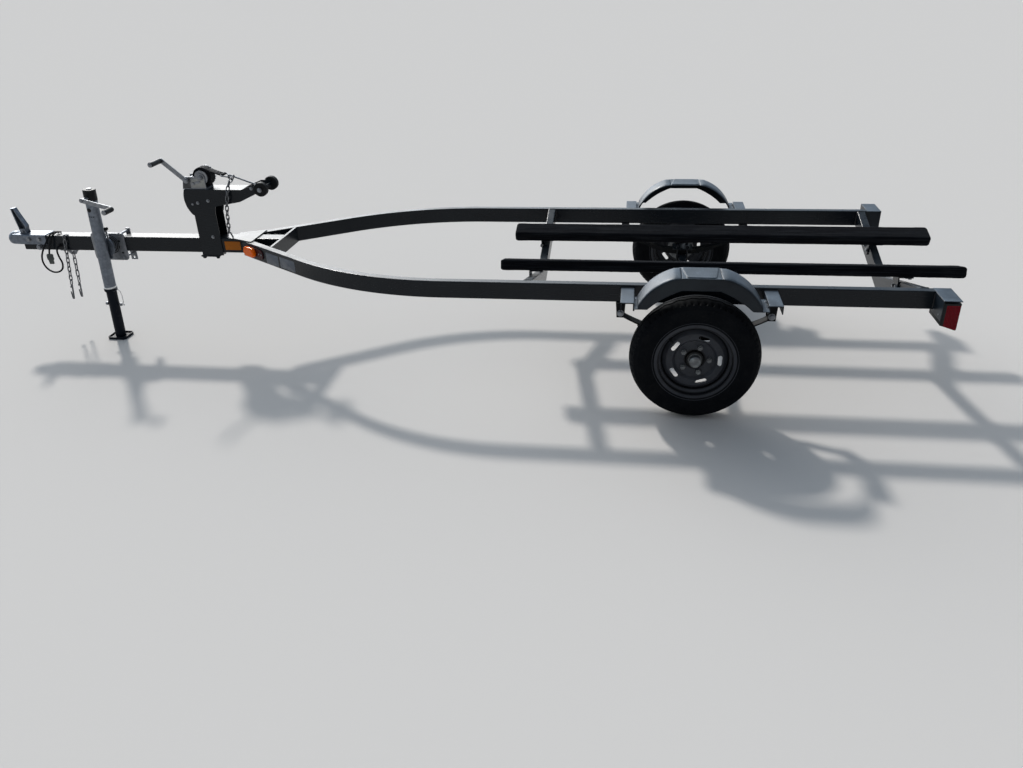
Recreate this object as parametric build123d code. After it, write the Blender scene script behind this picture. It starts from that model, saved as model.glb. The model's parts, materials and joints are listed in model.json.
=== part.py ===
from build123d import *

import math
import os

# A single-axle trailer for a small boat or personal watercraft, parked on its tongue jack.
# Millimetres.  X runs from the coupler to the rear, +Y is the trailer's right, Z is up from the ground.
# Every place along X is measured from the axle; the last step moves the whole trailer forward or back
# so that the origin lies under the middle of its length.

os.makedirs("parts", exist_ok=True)

# Wheels and axle
TRACK = 1405.0              # between the middles of the two tyres
TYRE_R = 266.5
TYRE_WIDTH = 122.0
TYRE_WALL = 9.0
SHOULDER_R = 250.0          # where the sidewall meets the tread
SHOULDER_WIDTH = 98.0
RIM_SEAT_R = 152.4          # bead seat of a twelve inch rim
RIM_FLANGE_R = 175.0
RIM_WIDTH = 112.0
RIM_SHEET = 3.2
DROP_R = 136.0              # drop centre, where the disc is welded in
DISC_OFFSET = 22.0          # mounting face, outboard of the rim's middle
DISC_SHEET = 4.0
DISC_BORE_R = 40.0
DISC_BULGE = 12.0           # how far the slotted ring stands outboard of the mounting face
SLOT_COUNT = 5
SLOT_R = 100.0
SLOT_LENGTH = 46.0
SLOT_WIDTH = 17.0
BOLT_CIRCLE_R = 57.15
STUD_R = 6.35
NUT_ACROSS = 19.0
NUT_HEIGHT = 14.0
HUB_R = 31.0
HUB_FLANGE_R = 70.0
HUB_FLANGE = 9.0
HUB_INNER = 66.0            # hub's inner end, inboard of the tyre's middle
CAP_R = 24.0
CAP_REACH = 60.0            # dust cap's tip, outboard of the tyre's middle
SPINDLE_R = 17.5
RUNNING_GAP = 0.3
AXLE_SIZE = 38.1
AXLE_END_GAP = 8.0          # between the square beam and the hub

# Frame tubes
FRAME_TOP = 527.0
TUBE_HEIGHT = 76.2
TUBE_WALL = 3.2
TUBE_CORNER = 6.0
RAIL_WIDTH = 38.1
RAIL_CORNER = 4.5
WHEEL_ROOM = 58.5           # between a rail and the tyre's inner side
RAIL_REAR_X = 925.0
BEND_R = 1235.0             # to the middle of the rail
SPLAY = 34.7                # degrees in plan where the rails meet the tongue
RAIL_NOSE_X = -2200.0
RAIL_NOSE_OUT = 76.7       # from the middle to the rail's outer face, at its nose
TONGUE_WIDTH = 76.2
TONGUE_FRONT_X = -3440.0
CROSS_PLATE_X = -2019.0
CROSS_PLATE = 12.7
GUSSET_FRONT_X = -2262.0
GUSSET_REAR_X = -2140.0
GUSSET_FRONT_HALF = 48.0
GUSSET_REAR_HALF = 104.0
GUSSET_SHEET = 4.8

# Dropped cross members and the carpeted bunks on them
MEMBER_WIDTH = 38.1
MEMBER_SLOPE = 15.5         # degrees, each half of the V
MEMBER_FRONT_X = -705.0
MEMBER_REAR_X = 889.0
BUNK_Y = 253.0
BUNK_FRONT_X = -859.0
BUNK_REAR_X = 1134.0
BUNK_WIDTH = 99.0
BUNK_THICK = 48.0
BUNK_END_R = 22.0
BUNK_STANDOFF = 20.0        # from the cross member's top to the bunk's underside
BRACKET_LENGTH = 62.0
BRACKET_WIDTH = 76.0
BRACKET_SHEET = 5.0

# Springs
SPRING_WIDTH = 44.5
SPRING_EYE_X = 308.0
SPRING_EYE_Z = 404.0
SPRING_EYE_R = 14.0
LEAF = 6.4
LEAF_COUNT = 4
LEAF_STEP = 72.0            # each leaf ends this much short of the one above
HANGER_SHEET = 5.0
HANGER_LENGTH = 40.0
HANGER_DROP = 66.0
PIN_R = 7.0
TIE_PLATE_LENGTH = 106.0
TIE_PLATE_WIDTH = 92.0
TIE_PLATE = 8.0
U_BOLT_R = 5.5

# Fenders
FENDER_OFF_RAIL = 65.0
FENDER_OVERHANG = 15.5      # past the tyre's outer side
FENDER_SHEET = 2.5
FENDER_TOP_Z = 632.0
FENDER_FLAT = 72.0          # half length of the flat step
FENDER_MID = (168.0, 592.0)
FENDER_END = (240.0, 500.0)
SKIRT_DEPTH = 50.0
STEP_PAD = 3.0
STEP_PAD_IN = 8.0           # from the fender's inner and outer edges
STEP_PAD_TAPER = 16.0       # each end of the pad is this much shorter at the outside
FENDER_ARM_X = (-281.0, 293.0)
FENDER_ARM_LENGTH = 54.0
FENDER_ARM_TOP = 516.0
FENDER_ARM_DEPTH = 34.0
FENDER_ARM_SHEET = 4.0
FENDER_ARM_SHORT = 27.0     # the arms end this far inside the fender's outer edge

# Lamps
GUARD_LENGTH = 67.5
GUARD_WIDTH = 104.0         # outside the rail
GUARD_SHEET = 3.0
GUARD_BOTTOM = 443.0
LENS_INSET = 8.0
LENS_FRONT_BOTTOM = 425.0
LENS_REAR_BOTTOM = 404.0
MARKER_ALONG = 76.0         # behind the rail's nose
MARKER_LENGTH = 92.0
MARKER_HEIGHT = 48.0
MARKER_DEPTH = 22.0
REFLECTOR_X = -2272.0
REFLECTOR_LENGTH = 84.0
REFLECTOR_HEIGHT = 44.0
REFLECTOR_DEPTH = 3.0

# Coupler
NOSE_X = -3541.0
BALL_R = 25.4
BALL_Z = 503.0
SOCKET_GAP = 0.4
SOCKET_WALL = 11.6
COUPLER_SHEET = 4.5
COUPLER_REAR_X = -3305.0
COUPLER_BOTTOM = 482.0
LATCH_X = -3443.0
LATCH_EAR = [(-19, -2), (19, -2), (13, 26), (-13, 26)]      # x and z from LATCH_X and the coupler's top
LATCH_OUTER = [(-17, 0), (13, 0), (22, 36.5), (-3, 92.5), (-19, 132.5), (-37, 132.5), (-29, 72.5)]
LATCH_INNER = [(-13, -1), (9, -1), (16, 40.5), (-9, 92.5), (-21, 128.5), (-31, 128.5), (-23, 72.5)]
LATCH_HALF = 14.0
LATCH_SHEET = 4.0

# Jack
JACK_X = -2944.0            # swivel axis
JACK_Z = 489.0
JACK_Y = -118.0
JACK_LEAN = 3.0             # degrees, top to the rear
JACK_TUBE_R = 29.0
JACK_WALL = 2.6
JACK_TOP = 252.0            # tube's top above the swivel axis
JACK_CAP = 54.0
JACK_BOTTOM = 224.0         # collar's foot below the swivel axis
COLLAR_R = 32.0
COLLAR_HEIGHT = 14.0
LEG_GAP = 0.5
LEG_WALL = 3.2
LEG_OVERLAP = 180.0         # how much leg is still inside the tube
FOOT_LENGTH = 104.0
FOOT_WIDTH = 90.0
FOOT_SHEET = 6.0
FOOT_LIP = 14.0
SWIVEL_R = 30.0
SWIVEL_GAP = 0.3
JACK_PLATE = 6.0
JACK_PLATE_R = 52.0
RIDGE_R = 46.0
RIDGE_WIDTH = 4.0
RIDGE_HEIGHT = 2.5
BRACKET_PLATE = 6.0
BRACKET_FRONT_X = -3042.0
BRACKET_REAR_X = -2858.0
BRACKET_RISE = 21.0         # above the tongue
BRACKET_DROP = 46.0         # below the tongue
STRAP_DROP = 70.0
CLAMP_X = (-3022.0, -2882.0)
CLAMP_RISE = 13.0           # bolts' middles above the tongue
CLAMP_DROP = 33.0
CLAMP_BOLT_R = 5.0
CRANK_RISE = 16.0           # crank shaft above the cap's underside
CRANK_ARM = 150.0
CRANK_GRIP = 66.0
CRANK_GRIP_R = 13.0
CRANK_SHAFT_R = 8.0
CRANK_OUT = 190.0           # arm's distance from the trailer's middle

# Winch stand
POST_FRONT_X = -2443.0
POST_REAR_X = -2330.0
POST_SHEET = 5.0
POST_BOTTOM = 438.0
POST_TOP = 766.0
ARM_SHEET = 5.0
ARM_TOP = 776.0
ARM_CHEEK_BOTTOM = 648.0
ARM_CHEEK_MID = 716.0       # where the cheek's front bulges most
ARM_CHEEK_BULGE = 34.0
ARM_HEEL = 692.0
ARM_KNEE_X = -2186.0        # from here the beam rises to the rollers
ARM_OPEN_X = -2164.0        # behind this the arm has no top
ROLLER_X = -2058.0
ROLLER_Z = 784.0
ROLLER_R = 34.0
ROLLER_WIDTH = 30.0
ROLLER_PIN_R = 6.5
DRUM_X = -2374.0
DRUM_Z = 831.6
DRUM_R = 16.0
SPOOL_R = 47.0
GEAR_R = 48.0
GEAR_WIDTH = 8.0
GEAR_TEETH = 24
FLANGE_R = 34.0             # of the drum's plain end, on the near side
WINCH_HALF = 34.0           # inner faces of the winch's side plates
WINCH_SHEET = 3.5
WINCH_FRONT_X = -2478.0
WINCH_EAR_R = 20.0          # round the drum's axle
WINCH_CRANK_X = -2444.0
WINCH_CRANK_Z = 822.0
WINCH_CRANK_ARM = 146.0
WINCH_CRANK_OFF = 14.0      # arm's inner face outboard of the winch's side plate
WINCH_ARM_SHEET = 5.0
WINCH_ARM_WIDTH = 22.0
WINCH_SHAFT_R = 8.0
WINCH_BOLT_R = 5.0          # holds the grip
WINCH_CRANK_ANGLE = 138.0   # degrees up from the rear
WINCH_GRIP = 98.0
WINCH_GRIP_R = 12.5
STRAP_WIDTH = 45.0
STRAP_THICK = 3.0
STRAP_REACH = 103.2          # from the spool's top to the ring
RING_WIRE = 6.0
RING_LENGTH = 34.0
HOOK_BAR_X = -2116.0        # bolt between the arm's cheeks that holds the strap's hook
HOOK_BAR_Z = 783.0
HOOK_BAR_R = 5.0
SHANK_RISE = 8.5

# Chains
LINK_WIRE = 5.5
LINK_PITCH = 23.6           # at least, so that a whole odd number of links fills each run
LINK_BORE = 9.0             # a link's opening, across
LINK_GAP = 0.7              # play at each joint
LINK_SEAT = 0.3             # between a link and what it lies on or hangs in
HOOK_WIRE = 8.0
HOOK_LENGTH = 92.0
HOOK_MOUTH = 18.0
HOOK_TIP = 46.0             # from the eye's top to the open tip
OVER_CHAIN_TOP_X = -3190.0
OVER_CHAIN_LOW_X = -3226.0
OVER_CHAIN_LOW_Z = 268.0
UNDER_CHAIN_LOW_X = -3215.0
UNDER_CHAIN_LOW_Z = 262.0
CHAIN_PLATE_X = -3200.0
CHAIN_PLATE = 3.2
CHAIN_HOLE_R = 8.0
BOW_BOLT_X = -2284.0        # the U-bolt on the tongue that ends the bow chain
BOW_BOLT_Y = -27.0
BOW_BOLT_Z = 562.0
BOW_BOLT_HALF = 16.0
CHAIN_HOLE_DROP = 14.0      # hole's middle below the tongue
CHAIN_PLATE_DROP = 34.0

# Lighting harness
CABLE_R = 4.5

# Places worked out from the sizes above
AXLE_Z = TYRE_R
WHEEL_Y = TRACK / 2
RAIL_OUT = WHEEL_Y - TYRE_WIDTH / 2 - WHEEL_ROOM
FENDER_IN = RAIL_OUT + FENDER_OFF_RAIL
FENDER_OUT = WHEEL_Y + TYRE_WIDTH / 2 + FENDER_OVERHANG
FENDER_ARM_OUT = FENDER_OUT - FENDER_ARM_SHORT
GUARD_OUT = RAIL_OUT + GUARD_WIDTH
GUARD_FRONT_X = RAIL_REAR_X - RAIL_CORNER
GUARD_REAR_X = GUARD_FRONT_X + GUARD_LENGTH
BEND_TURN = math.radians(SPLAY)
BEND_OUT_R = BEND_R + RAIL_WIDTH / 2
BEND_SIDE = RAIL_OUT - BEND_OUT_R * (1 - math.cos(BEND_TURN)) - RAIL_NOSE_OUT
BEND_END_X = RAIL_NOSE_X + BEND_SIDE / math.tan(BEND_TURN) + BEND_OUT_R * math.sin(BEND_TURN)
FRAME_BOTTOM = FRAME_TOP - TUBE_HEIGHT
RAIL_Y = RAIL_OUT - RAIL_WIDTH / 2
RAIL_IN = RAIL_OUT - RAIL_WIDTH
TONGUE_HALF = TONGUE_WIDTH / 2
SHIFT_X = -(NOSE_X + BUNK_REAR_X) / 2
BALL_X = NOSE_X + BALL_R + SOCKET_GAP + SOCKET_WALL
LINK_SIDE = (LINK_BORE + LINK_WIRE) / 2
LINK_REST = LINK_WIRE + LINK_GAP
CHAIN_Y = TONGUE_HALF + LINK_SIDE + LINK_WIRE / 2 + LINK_SEAT


# Small helpers for the shapes that come back again and again

def block(x0, x1, y0, y1, z0, z1):
    """A plain block between two corners."""
    return Pos((x0 + x1) / 2, (y0 + y1) / 2, (z0 + z1) / 2) * Box(x1 - x0, y1 - y0, z1 - z0)


def side_plate(face, y0, y1):
    """A face drawn in X and Z, made thick from y0 to y1."""
    return extrude(Plane.XZ.offset(-y1) * face, amount=y1 - y0)


def cross_plate(face, x0, x1):
    """A face drawn in Y and Z, made thick from x0 to x1."""
    return extrude(Plane.YZ.offset(x0) * face, amount=x1 - x0)


def flat_plate(face, z0, z1):
    """A face drawn in X and Y, made thick from z0 to z1."""
    return extrude(Pos(0, 0, z0) * face, amount=z1 - z0)


def outline(*points):
    """A closed straight-sided face."""
    return make_face(Polyline(*points, close=True))


def disc(x, z, radius):
    """A round face in X and Z."""
    return Pos(x, z) * Circle(radius)


def rod(start, end, radius):
    """A round bar between two points."""
    run = Vector(*end) - Vector(*start)
    plane = Plane(origin=start, z_dir=tuple(run))
    return extrude(plane * Circle(radius), amount=run.length)


def square_tube(width, height, wall, corner):
    """The section of a rounded box tube."""
    inner = max(corner - wall, 0.5)
    return RectangleRounded(width, height, corner) - RectangleRounded(width - 2 * wall, height - 2 * wall, inner)


def both_sides(name, shape):
    """Files a piece of the right-hand side and its mirror image on the left."""
    save(name + "_right", shape)
    save(name + "_left", mirror(shape, about=Plane.XZ))


def save(name, shape):
    """Moves a finished piece from the axle's frame to the trailer's and writes it."""
    export_step(Pos(SHIFT_X, 0, 0) * shape, "parts/" + name + ".step")


# Frame

def tongue():
    length = CROSS_PLATE_X - TONGUE_FRONT_X
    section = square_tube(TONGUE_WIDTH, TUBE_HEIGHT, TUBE_WALL, TUBE_CORNER)
    place = Plane.YZ.offset(TONGUE_FRONT_X) * Pos(0, FRAME_TOP - TUBE_HEIGHT / 2)
    return extrude(place * section, amount=length)


def rail_path(offset):
    """The right-hand rail's line in plan, shifted outwards by an offset, with spare length at both ends."""
    turn = math.radians(SPLAY)
    radius = BEND_R + offset
    y = RAIL_Y + offset
    bend_front = (BEND_END_X - radius * math.sin(turn), y - radius * (1 - math.cos(turn)))
    middle = math.radians(SPLAY / 2)
    bend_middle = (BEND_END_X - radius * math.sin(middle), y - radius * (1 - math.cos(middle)))
    run = bend_front[1] / math.sin(turn)
    nose = (bend_front[0] - run * math.cos(turn), 0)
    return (RAIL_REAR_X + RAIL_CORNER, y), (BEND_END_X, y), bend_middle, bend_front, nose


def rail_band(half_width, z0, z1):
    """The rail's bent strip in plan, a half width to each side of its line, made thick in Z."""
    rear, bend_rear, bend_middle, bend_front, nose = rail_path(half_width)
    rear_in, bend_rear_in, bend_middle_in, bend_front_in, nose_in = rail_path(-half_width)
    outer = Line(rear, bend_rear) + ThreePointArc(bend_rear, bend_middle, bend_front) + Line(bend_front, nose)
    inner = Line(nose_in, bend_front_in) + ThreePointArc(bend_front_in, bend_middle_in, bend_rear_in)
    inner += Line(bend_rear_in, rear_in)
    return flat_plate(make_face(outer + Line(nose, nose_in) + inner + Line(rear_in, rear)), z0, z1)


def rail():
    tube = rail_band(RAIL_WIDTH / 2, FRAME_BOTTOM, FRAME_TOP)
    edges = tube.edges()
    tube = fillet(edges.group_by(Axis.Z)[0] + edges.group_by(Axis.Z)[-1], RAIL_CORNER)
    tube -= rail_band(RAIL_WIDTH / 2 - TUBE_WALL, FRAME_BOTTOM + TUBE_WALL, FRAME_TOP - TUBE_WALL)
    tube -= block(RAIL_REAR_X - RAIL_CORNER, RAIL_REAR_X + 9, 0, RAIL_OUT + 9, 0, FRAME_TOP + 9)
    room = 400
    tube -= block(RAIL_NOSE_X - room, RAIL_NOSE_X, -room, room, 0, FRAME_TOP + room)
    tube -= block(RAIL_NOSE_X - room, CROSS_PLATE_X, -room, TONGUE_HALF, 0, FRAME_TOP + room)
    return tube


def rail_face_y(x, offset):
    """Where the straight front part of the right-hand rail's face lies at a place x."""
    front = rail_path(offset)[3]
    return front[1] + (x - front[0]) * math.tan(math.radians(SPLAY))


def cross_plate_front():
    x0 = CROSS_PLATE_X
    x1 = CROSS_PLATE_X + CROSS_PLATE
    half0 = rail_face_y(x0, -RAIL_WIDTH / 2)
    half1 = rail_face_y(x1, -RAIL_WIDTH / 2)
    face = outline((x0, -half0), (x1, -half1), (x1, half1), (x0, half0))
    return flat_plate(face, FRAME_BOTTOM, FRAME_TOP)


def gusset():
    face = outline((GUSSET_FRONT_X, -GUSSET_FRONT_HALF), (GUSSET_REAR_X, -GUSSET_REAR_HALF),
                   (GUSSET_REAR_X, GUSSET_REAR_HALF), (GUSSET_FRONT_X, GUSSET_FRONT_HALF))
    plate = flat_plate(face, FRAME_TOP, FRAME_TOP + GUSSET_SHEET)
    return fillet(plate.edges().filter_by(Axis.Z), 8)


def member_top(y):
    """Height of a cross member's top at a distance from the centreline."""
    return FRAME_TOP - (RAIL_IN - abs(y)) * math.tan(math.radians(MEMBER_SLOPE))


def cross_member(x):
    keel = member_top(0)
    drop = TUBE_HEIGHT
    wall = TUBE_WALL
    outer = outline((-RAIL_IN, FRAME_TOP), (0, keel), (RAIL_IN, FRAME_TOP),
                    (RAIL_IN, FRAME_TOP - drop), (0, keel - drop), (-RAIL_IN, FRAME_TOP - drop))
    inner = outline((-RAIL_IN, FRAME_TOP - wall), (0, keel - wall), (RAIL_IN, FRAME_TOP - wall),
                    (RAIL_IN, FRAME_TOP - drop + wall), (0, keel - drop + wall), (-RAIL_IN, FRAME_TOP - drop + wall))
    half = MEMBER_WIDTH / 2
    body = cross_plate(outer, x - half, x + half)
    long_edges = body.edges().filter_by(Axis.X, reverse=True)
    long_edges = [edge for edge in long_edges if abs(edge.center().Y) < RAIL_IN - 1]
    body = fillet(long_edges, RAIL_CORNER)
    return body - cross_plate(inner, x - half + wall, x + half - wall)


# Bunks

def on_slope(shape):
    """Stands a piece drawn about the bunk's underside on the right-hand slope of the cross members."""
    lift = BUNK_STANDOFF / math.cos(math.radians(MEMBER_SLOPE))
    return Pos(0, BUNK_Y, member_top(BUNK_Y) + lift) * Rot(MEMBER_SLOPE, 0, 0) * shape


def bunk():
    half = BUNK_WIDTH / 2
    board = block(BUNK_FRONT_X, BUNK_REAR_X, -half, half, 0, BUNK_THICK)
    board = fillet(board.edges().filter_by(Axis.Z), BUNK_END_R)
    top = board.faces().sort_by(Axis.Z)[-1]
    board = fillet(top.edges(), 9)
    return on_slope(board)


def bunk_bracket(x):
    """An angle bolted to the member's side, with its flange under the bunk."""
    side = x - MEMBER_WIDTH / 2
    half = BRACKET_WIDTH / 2
    upright = block(side - BRACKET_SHEET, side, -half, half, -BUNK_STANDOFF - 44, 0)
    flange = block(side - BRACKET_SHEET, side - BRACKET_SHEET + BRACKET_LENGTH, -half, half, -BRACKET_SHEET, 0)
    upright = fillet(upright.edges().filter_by(Axis.X).group_by(Axis.Z)[0], 10)
    return on_slope(upright + flange)


# Axle, springs and what ties them

def axle_beam():
    half = WHEEL_Y - HUB_INNER - AXLE_END_GAP
    beam = block(-AXLE_SIZE / 2, AXLE_SIZE / 2, -half, half, AXLE_Z - AXLE_SIZE / 2, AXLE_Z + AXLE_SIZE / 2)
    beam = fillet(beam.edges().filter_by(Axis.Y), 4)
    reach = WHEEL_Y + DISC_OFFSET
    return beam + rod((0, -reach, AXLE_Z), (0, reach, AXLE_Z), SPINDLE_R)


def spring_rise(x):
    """How much higher the curved leaves lie at x than over the axle."""
    rise = SPRING_EYE_Z - SPRING_EYE_R - (AXLE_Z + AXLE_SIZE / 2 + (LEAF_COUNT - 1) * LEAF)
    radius = (SPRING_EYE_X ** 2 + rise ** 2) / (2 * rise)
    return radius - math.sqrt(radius ** 2 - x ** 2)


def leaf_face(index):
    """One leaf in X and Z: the top one runs from eye to eye, each below it is shorter."""
    low = AXLE_Z + AXLE_SIZE / 2 + (LEAF_COUNT - 1 - index) * LEAF
    end = SPRING_EYE_X - index * LEAF_STEP
    end_low = low + spring_rise(end)
    under = ThreePointArc((-end, end_low), (0, low), (end, end_low))
    over = ThreePointArc((end, end_low + LEAF), (0, low + LEAF), (-end, end_low + LEAF))
    return make_face(under + Line((end, end_low), (end, end_low + LEAF)) + over
                     + Line((-end, end_low + LEAF), (-end, end_low)))


def spring():
    face = leaf_face(0)
    for index in range(1, LEAF_COUNT):
        face += leaf_face(index)
    for end in (-1, 1):
        face += disc(end * SPRING_EYE_X, SPRING_EYE_Z, SPRING_EYE_R)
    for end in (-1, 1):
        face -= disc(end * SPRING_EYE_X, SPRING_EYE_Z, PIN_R + RUNNING_GAP)
    half = SPRING_WIDTH / 2
    return side_plate(face, RAIL_Y - half, RAIL_Y + half)


def hanger(x):
    """Two cheeks under the rail with the spring's pin between them."""
    low = FRAME_BOTTOM - HANGER_DROP
    half = HANGER_LENGTH / 2
    face = outline((x - half, FRAME_BOTTOM), (x + half, FRAME_BOTTOM), (x + half - 4, low), (x - half + 4, low))
    gap = SPRING_WIDTH / 2 + RUNNING_GAP
    cheeks = side_plate(face, RAIL_Y + gap, RAIL_Y + gap + HANGER_SHEET)
    cheeks += side_plate(face, RAIL_Y - gap - HANGER_SHEET, RAIL_Y - gap)
    cap = block(x - half, x + half, RAIL_Y - gap - HANGER_SHEET, RAIL_Y + gap + HANGER_SHEET,
                FRAME_BOTTOM - HANGER_SHEET, FRAME_BOTTOM)
    reach = gap + HANGER_SHEET + 9
    pin = rod((x, RAIL_Y - reach, SPRING_EYE_Z), (x, RAIL_Y + reach, SPRING_EYE_Z), PIN_R)
    return cheeks + cap + pin


def axle_clamp():
    """The tie plate on top of the spring and its two U-bolts round the axle."""
    half = TIE_PLATE_LENGTH / 2
    top = AXLE_Z + AXLE_SIZE / 2 + LEAF_COUNT * LEAF + spring_rise(half) + RUNNING_GAP
    y0 = RAIL_Y - TIE_PLATE_WIDTH / 2
    y1 = RAIL_Y + TIE_PLATE_WIDTH / 2
    plate = block(-half, half, y0, y1, top, top + TIE_PLATE)
    plate = fillet(plate.edges().filter_by(Axis.Z), 8)
    leg = AXLE_SIZE / 2 + U_BOLT_R + RUNNING_GAP
    low = AXLE_Z - AXLE_SIZE / 2 - U_BOLT_R - RUNNING_GAP
    high = top + TIE_PLATE + 14
    bend = U_BOLT_R + 3
    for y in (RAIL_Y - SPRING_WIDTH / 2 - U_BOLT_R - 2, RAIL_Y + SPRING_WIDTH / 2 + U_BOLT_R + 2):
        path = FilletPolyline((-leg, y, high), (-leg, y, low), (leg, y, low), (leg, y, high), radius=bend)
        plate += sweep(Plane(origin=(-leg, y, high), z_dir=(0, 0, -1)) * Circle(U_BOLT_R), path=path)
        for x in (-leg, leg):
            plate += Pos(x, y, top + TIE_PLATE + 4) * extrude(RegularPolygon(9, 6), amount=4, both=True)
    return plate


# Wheels, drawn about the tyre's middle with their axis along Y, outboard positive

def turned(points):
    """A ring turned about the wheel's axis, from radius and outboard distance."""
    face = make_face(Polyline(*[(r, w) for r, w in points], close=True))
    return revolve(face, axis=Axis.Y)


def tyre_face(inset):
    """Half of the tyre's section: bead, bulging sidewall, shoulder and crown."""
    half = TYRE_WIDTH / 2 - inset
    shoulder = SHOULDER_WIDTH / 2 - inset * 0.7
    bead = RIM_WIDTH / 2 - RIM_SHEET - RUNNING_GAP - inset
    foot = RIM_SEAT_R + RUNNING_GAP
    clip = RIM_FLANGE_R + RUNNING_GAP
    belly = (clip + SHOULDER_R) / 2
    side = Line((foot, bead), (clip, bead)) + ThreePointArc((clip, bead), (belly, half), (SHOULDER_R - inset, shoulder))
    crown = ThreePointArc((SHOULDER_R - inset, shoulder), (TYRE_R - inset, 0), (SHOULDER_R - inset, -shoulder))
    back = ThreePointArc((SHOULDER_R - inset, -shoulder), (belly, -half), (clip, -bead))
    back += Line((clip, -bead), (foot, -bead))
    return make_face(side + crown + back + Line((foot, -bead), (foot, bead)))


def tyre():
    return revolve(tyre_face(0) - tyre_face(TYRE_WALL), axis=Axis.Y)


def rim():
    half = RIM_WIDTH / 2
    t = RIM_SHEET
    seat = half - 18
    well = seat - 10
    outer = [(RIM_FLANGE_R, half), (RIM_FLANGE_R, half - t), (RIM_SEAT_R, half - t), (RIM_SEAT_R, seat),
             (DROP_R + t, well), (DROP_R + t, -well), (RIM_SEAT_R, -seat), (RIM_SEAT_R, t - half),
             (RIM_FLANGE_R, t - half), (RIM_FLANGE_R, -half)]
    inner = [(RIM_SEAT_R - t, -half), (RIM_SEAT_R - t, -seat), (DROP_R, -well), (DROP_R, well),
             (RIM_SEAT_R - t, seat), (RIM_SEAT_R - t, half)]
    barrel = turned(outer + inner)
    w = DISC_OFFSET
    d = DISC_SHEET
    bulge = w + DISC_BULGE
    front = [(DISC_BORE_R, w), (80, w), (90, bulge), (116, bulge), (DROP_R + 1, w - 6), (DROP_R + 1, w - 20)]
    back = [(DROP_R + 1 - d, w - 20), (DROP_R + 1 - d, w - 8), (114, bulge - d), (92, bulge - d), (82, w - d),
            (DISC_BORE_R, w - d)]
    wheel = barrel + turned(front + back)
    slot = Plane.XZ.offset(-w - 60) * (Pos(SLOT_R, 0) * SlotOverall(SLOT_LENGTH, SLOT_WIDTH, rotation=90))
    slots = extrude(slot, amount=80)
    hole = extrude(Plane.XZ.offset(-w - 60) * (Pos(0, BOLT_CIRCLE_R) * Circle(STUD_R + RUNNING_GAP)), amount=80)
    for index in range(SLOT_COUNT):
        turn = Rot(0, index * 360 / SLOT_COUNT, 0)
        wheel -= turn * slots
        wheel -= turn * Rot(0, 18, 0) * hole
    return wheel


def hub():
    face_in = DISC_OFFSET - DISC_SHEET
    bore = SPINDLE_R + RUNNING_GAP
    end = CAP_REACH
    inside = DISC_OFFSET + 6
    profile = [(bore, -HUB_INNER), (HUB_R, -HUB_INNER), (HUB_R + 4, face_in - HUB_FLANGE),
               (HUB_FLANGE_R, face_in - HUB_FLANGE), (HUB_FLANGE_R, face_in), (DISC_BORE_R - 2, face_in),
               (DISC_BORE_R - 6, DISC_OFFSET + 8), (CAP_R, DISC_OFFSET + 10), (CAP_R, end - 4), (CAP_R - 4, end),
               (0, end), (0, inside), (bore, inside)]
    body = turned(profile)
    for index in range(SLOT_COUNT):
        turn = Rot(0, 18 + index * 360 / SLOT_COUNT, 0)
        stud = Plane.XZ.offset(-face_in - DISC_SHEET - NUT_HEIGHT - 6) * (Pos(0, BOLT_CIRCLE_R) * Circle(STUD_R))
        nut = Plane.XZ.offset(-face_in - DISC_SHEET - NUT_HEIGHT) * (
            Pos(0, BOLT_CIRCLE_R) * RegularPolygon(NUT_ACROSS / 2, 6, major_radius=False))
        body += turn * extrude(stud, amount=NUT_HEIGHT + DISC_SHEET + 6 + HUB_FLANGE / 2)
        body += turn * extrude(nut, amount=NUT_HEIGHT)
    return body


# Fenders

def fender_line(inset):
    """The fender's side view: a flat step with a curved slope at each end."""
    end_x, end_z = FENDER_END
    mid_x, mid_z = FENDER_MID
    flat = FENDER_FLAT
    top = FENDER_TOP_Z - inset
    side = inset * 0.75
    front = ThreePointArc((-end_x + side, end_z), (-mid_x + side, mid_z - side), (-flat, top))
    rear = ThreePointArc((flat, top), (mid_x - side, mid_z - side), (end_x - side, end_z))
    return front, Line((-flat, top), (flat, top)), rear, (-end_x + side, end_z), (end_x - side, end_z)


def fender_band(inset, depth):
    """The face between the fender's line and the same line a depth further in."""
    front, top, rear, start, end = fender_line(inset)
    front_in, top_in, rear_in, start_in, end_in = fender_line(inset + depth)
    return make_face(front + top + rear + Line(end, end_in) + rear_in + top_in + front_in + Line(start_in, start))


def fender():
    shell = side_plate(fender_band(0, FENDER_SHEET), FENDER_IN, FENDER_OUT)
    shell += side_plate(fender_band(0, SKIRT_DEPTH), FENDER_OUT - FENDER_SHEET, FENDER_OUT)
    return shell + step_pad() + fender_lip(-1) + fender_lip(1)


def step_pad():
    """The raised panel on the flat step, a little shorter at the outside."""
    pad_in = FENDER_IN + STEP_PAD_IN
    pad_out = FENDER_OUT - STEP_PAD_IN
    long_half = FENDER_FLAT
    short_half = FENDER_FLAT - STEP_PAD_TAPER
    face = outline((-long_half, pad_in), (long_half, pad_in), (short_half, pad_out), (-short_half, pad_out))
    pad = flat_plate(face, FENDER_TOP_Z, FENDER_TOP_Z + STEP_PAD)
    pad = fillet(pad.edges().filter_by(Axis.Z).group_by(Axis.Y)[-1], 12)
    return chamfer(pad.faces().sort_by(Axis.Z)[-1].edges(), STEP_PAD / 2)


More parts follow.
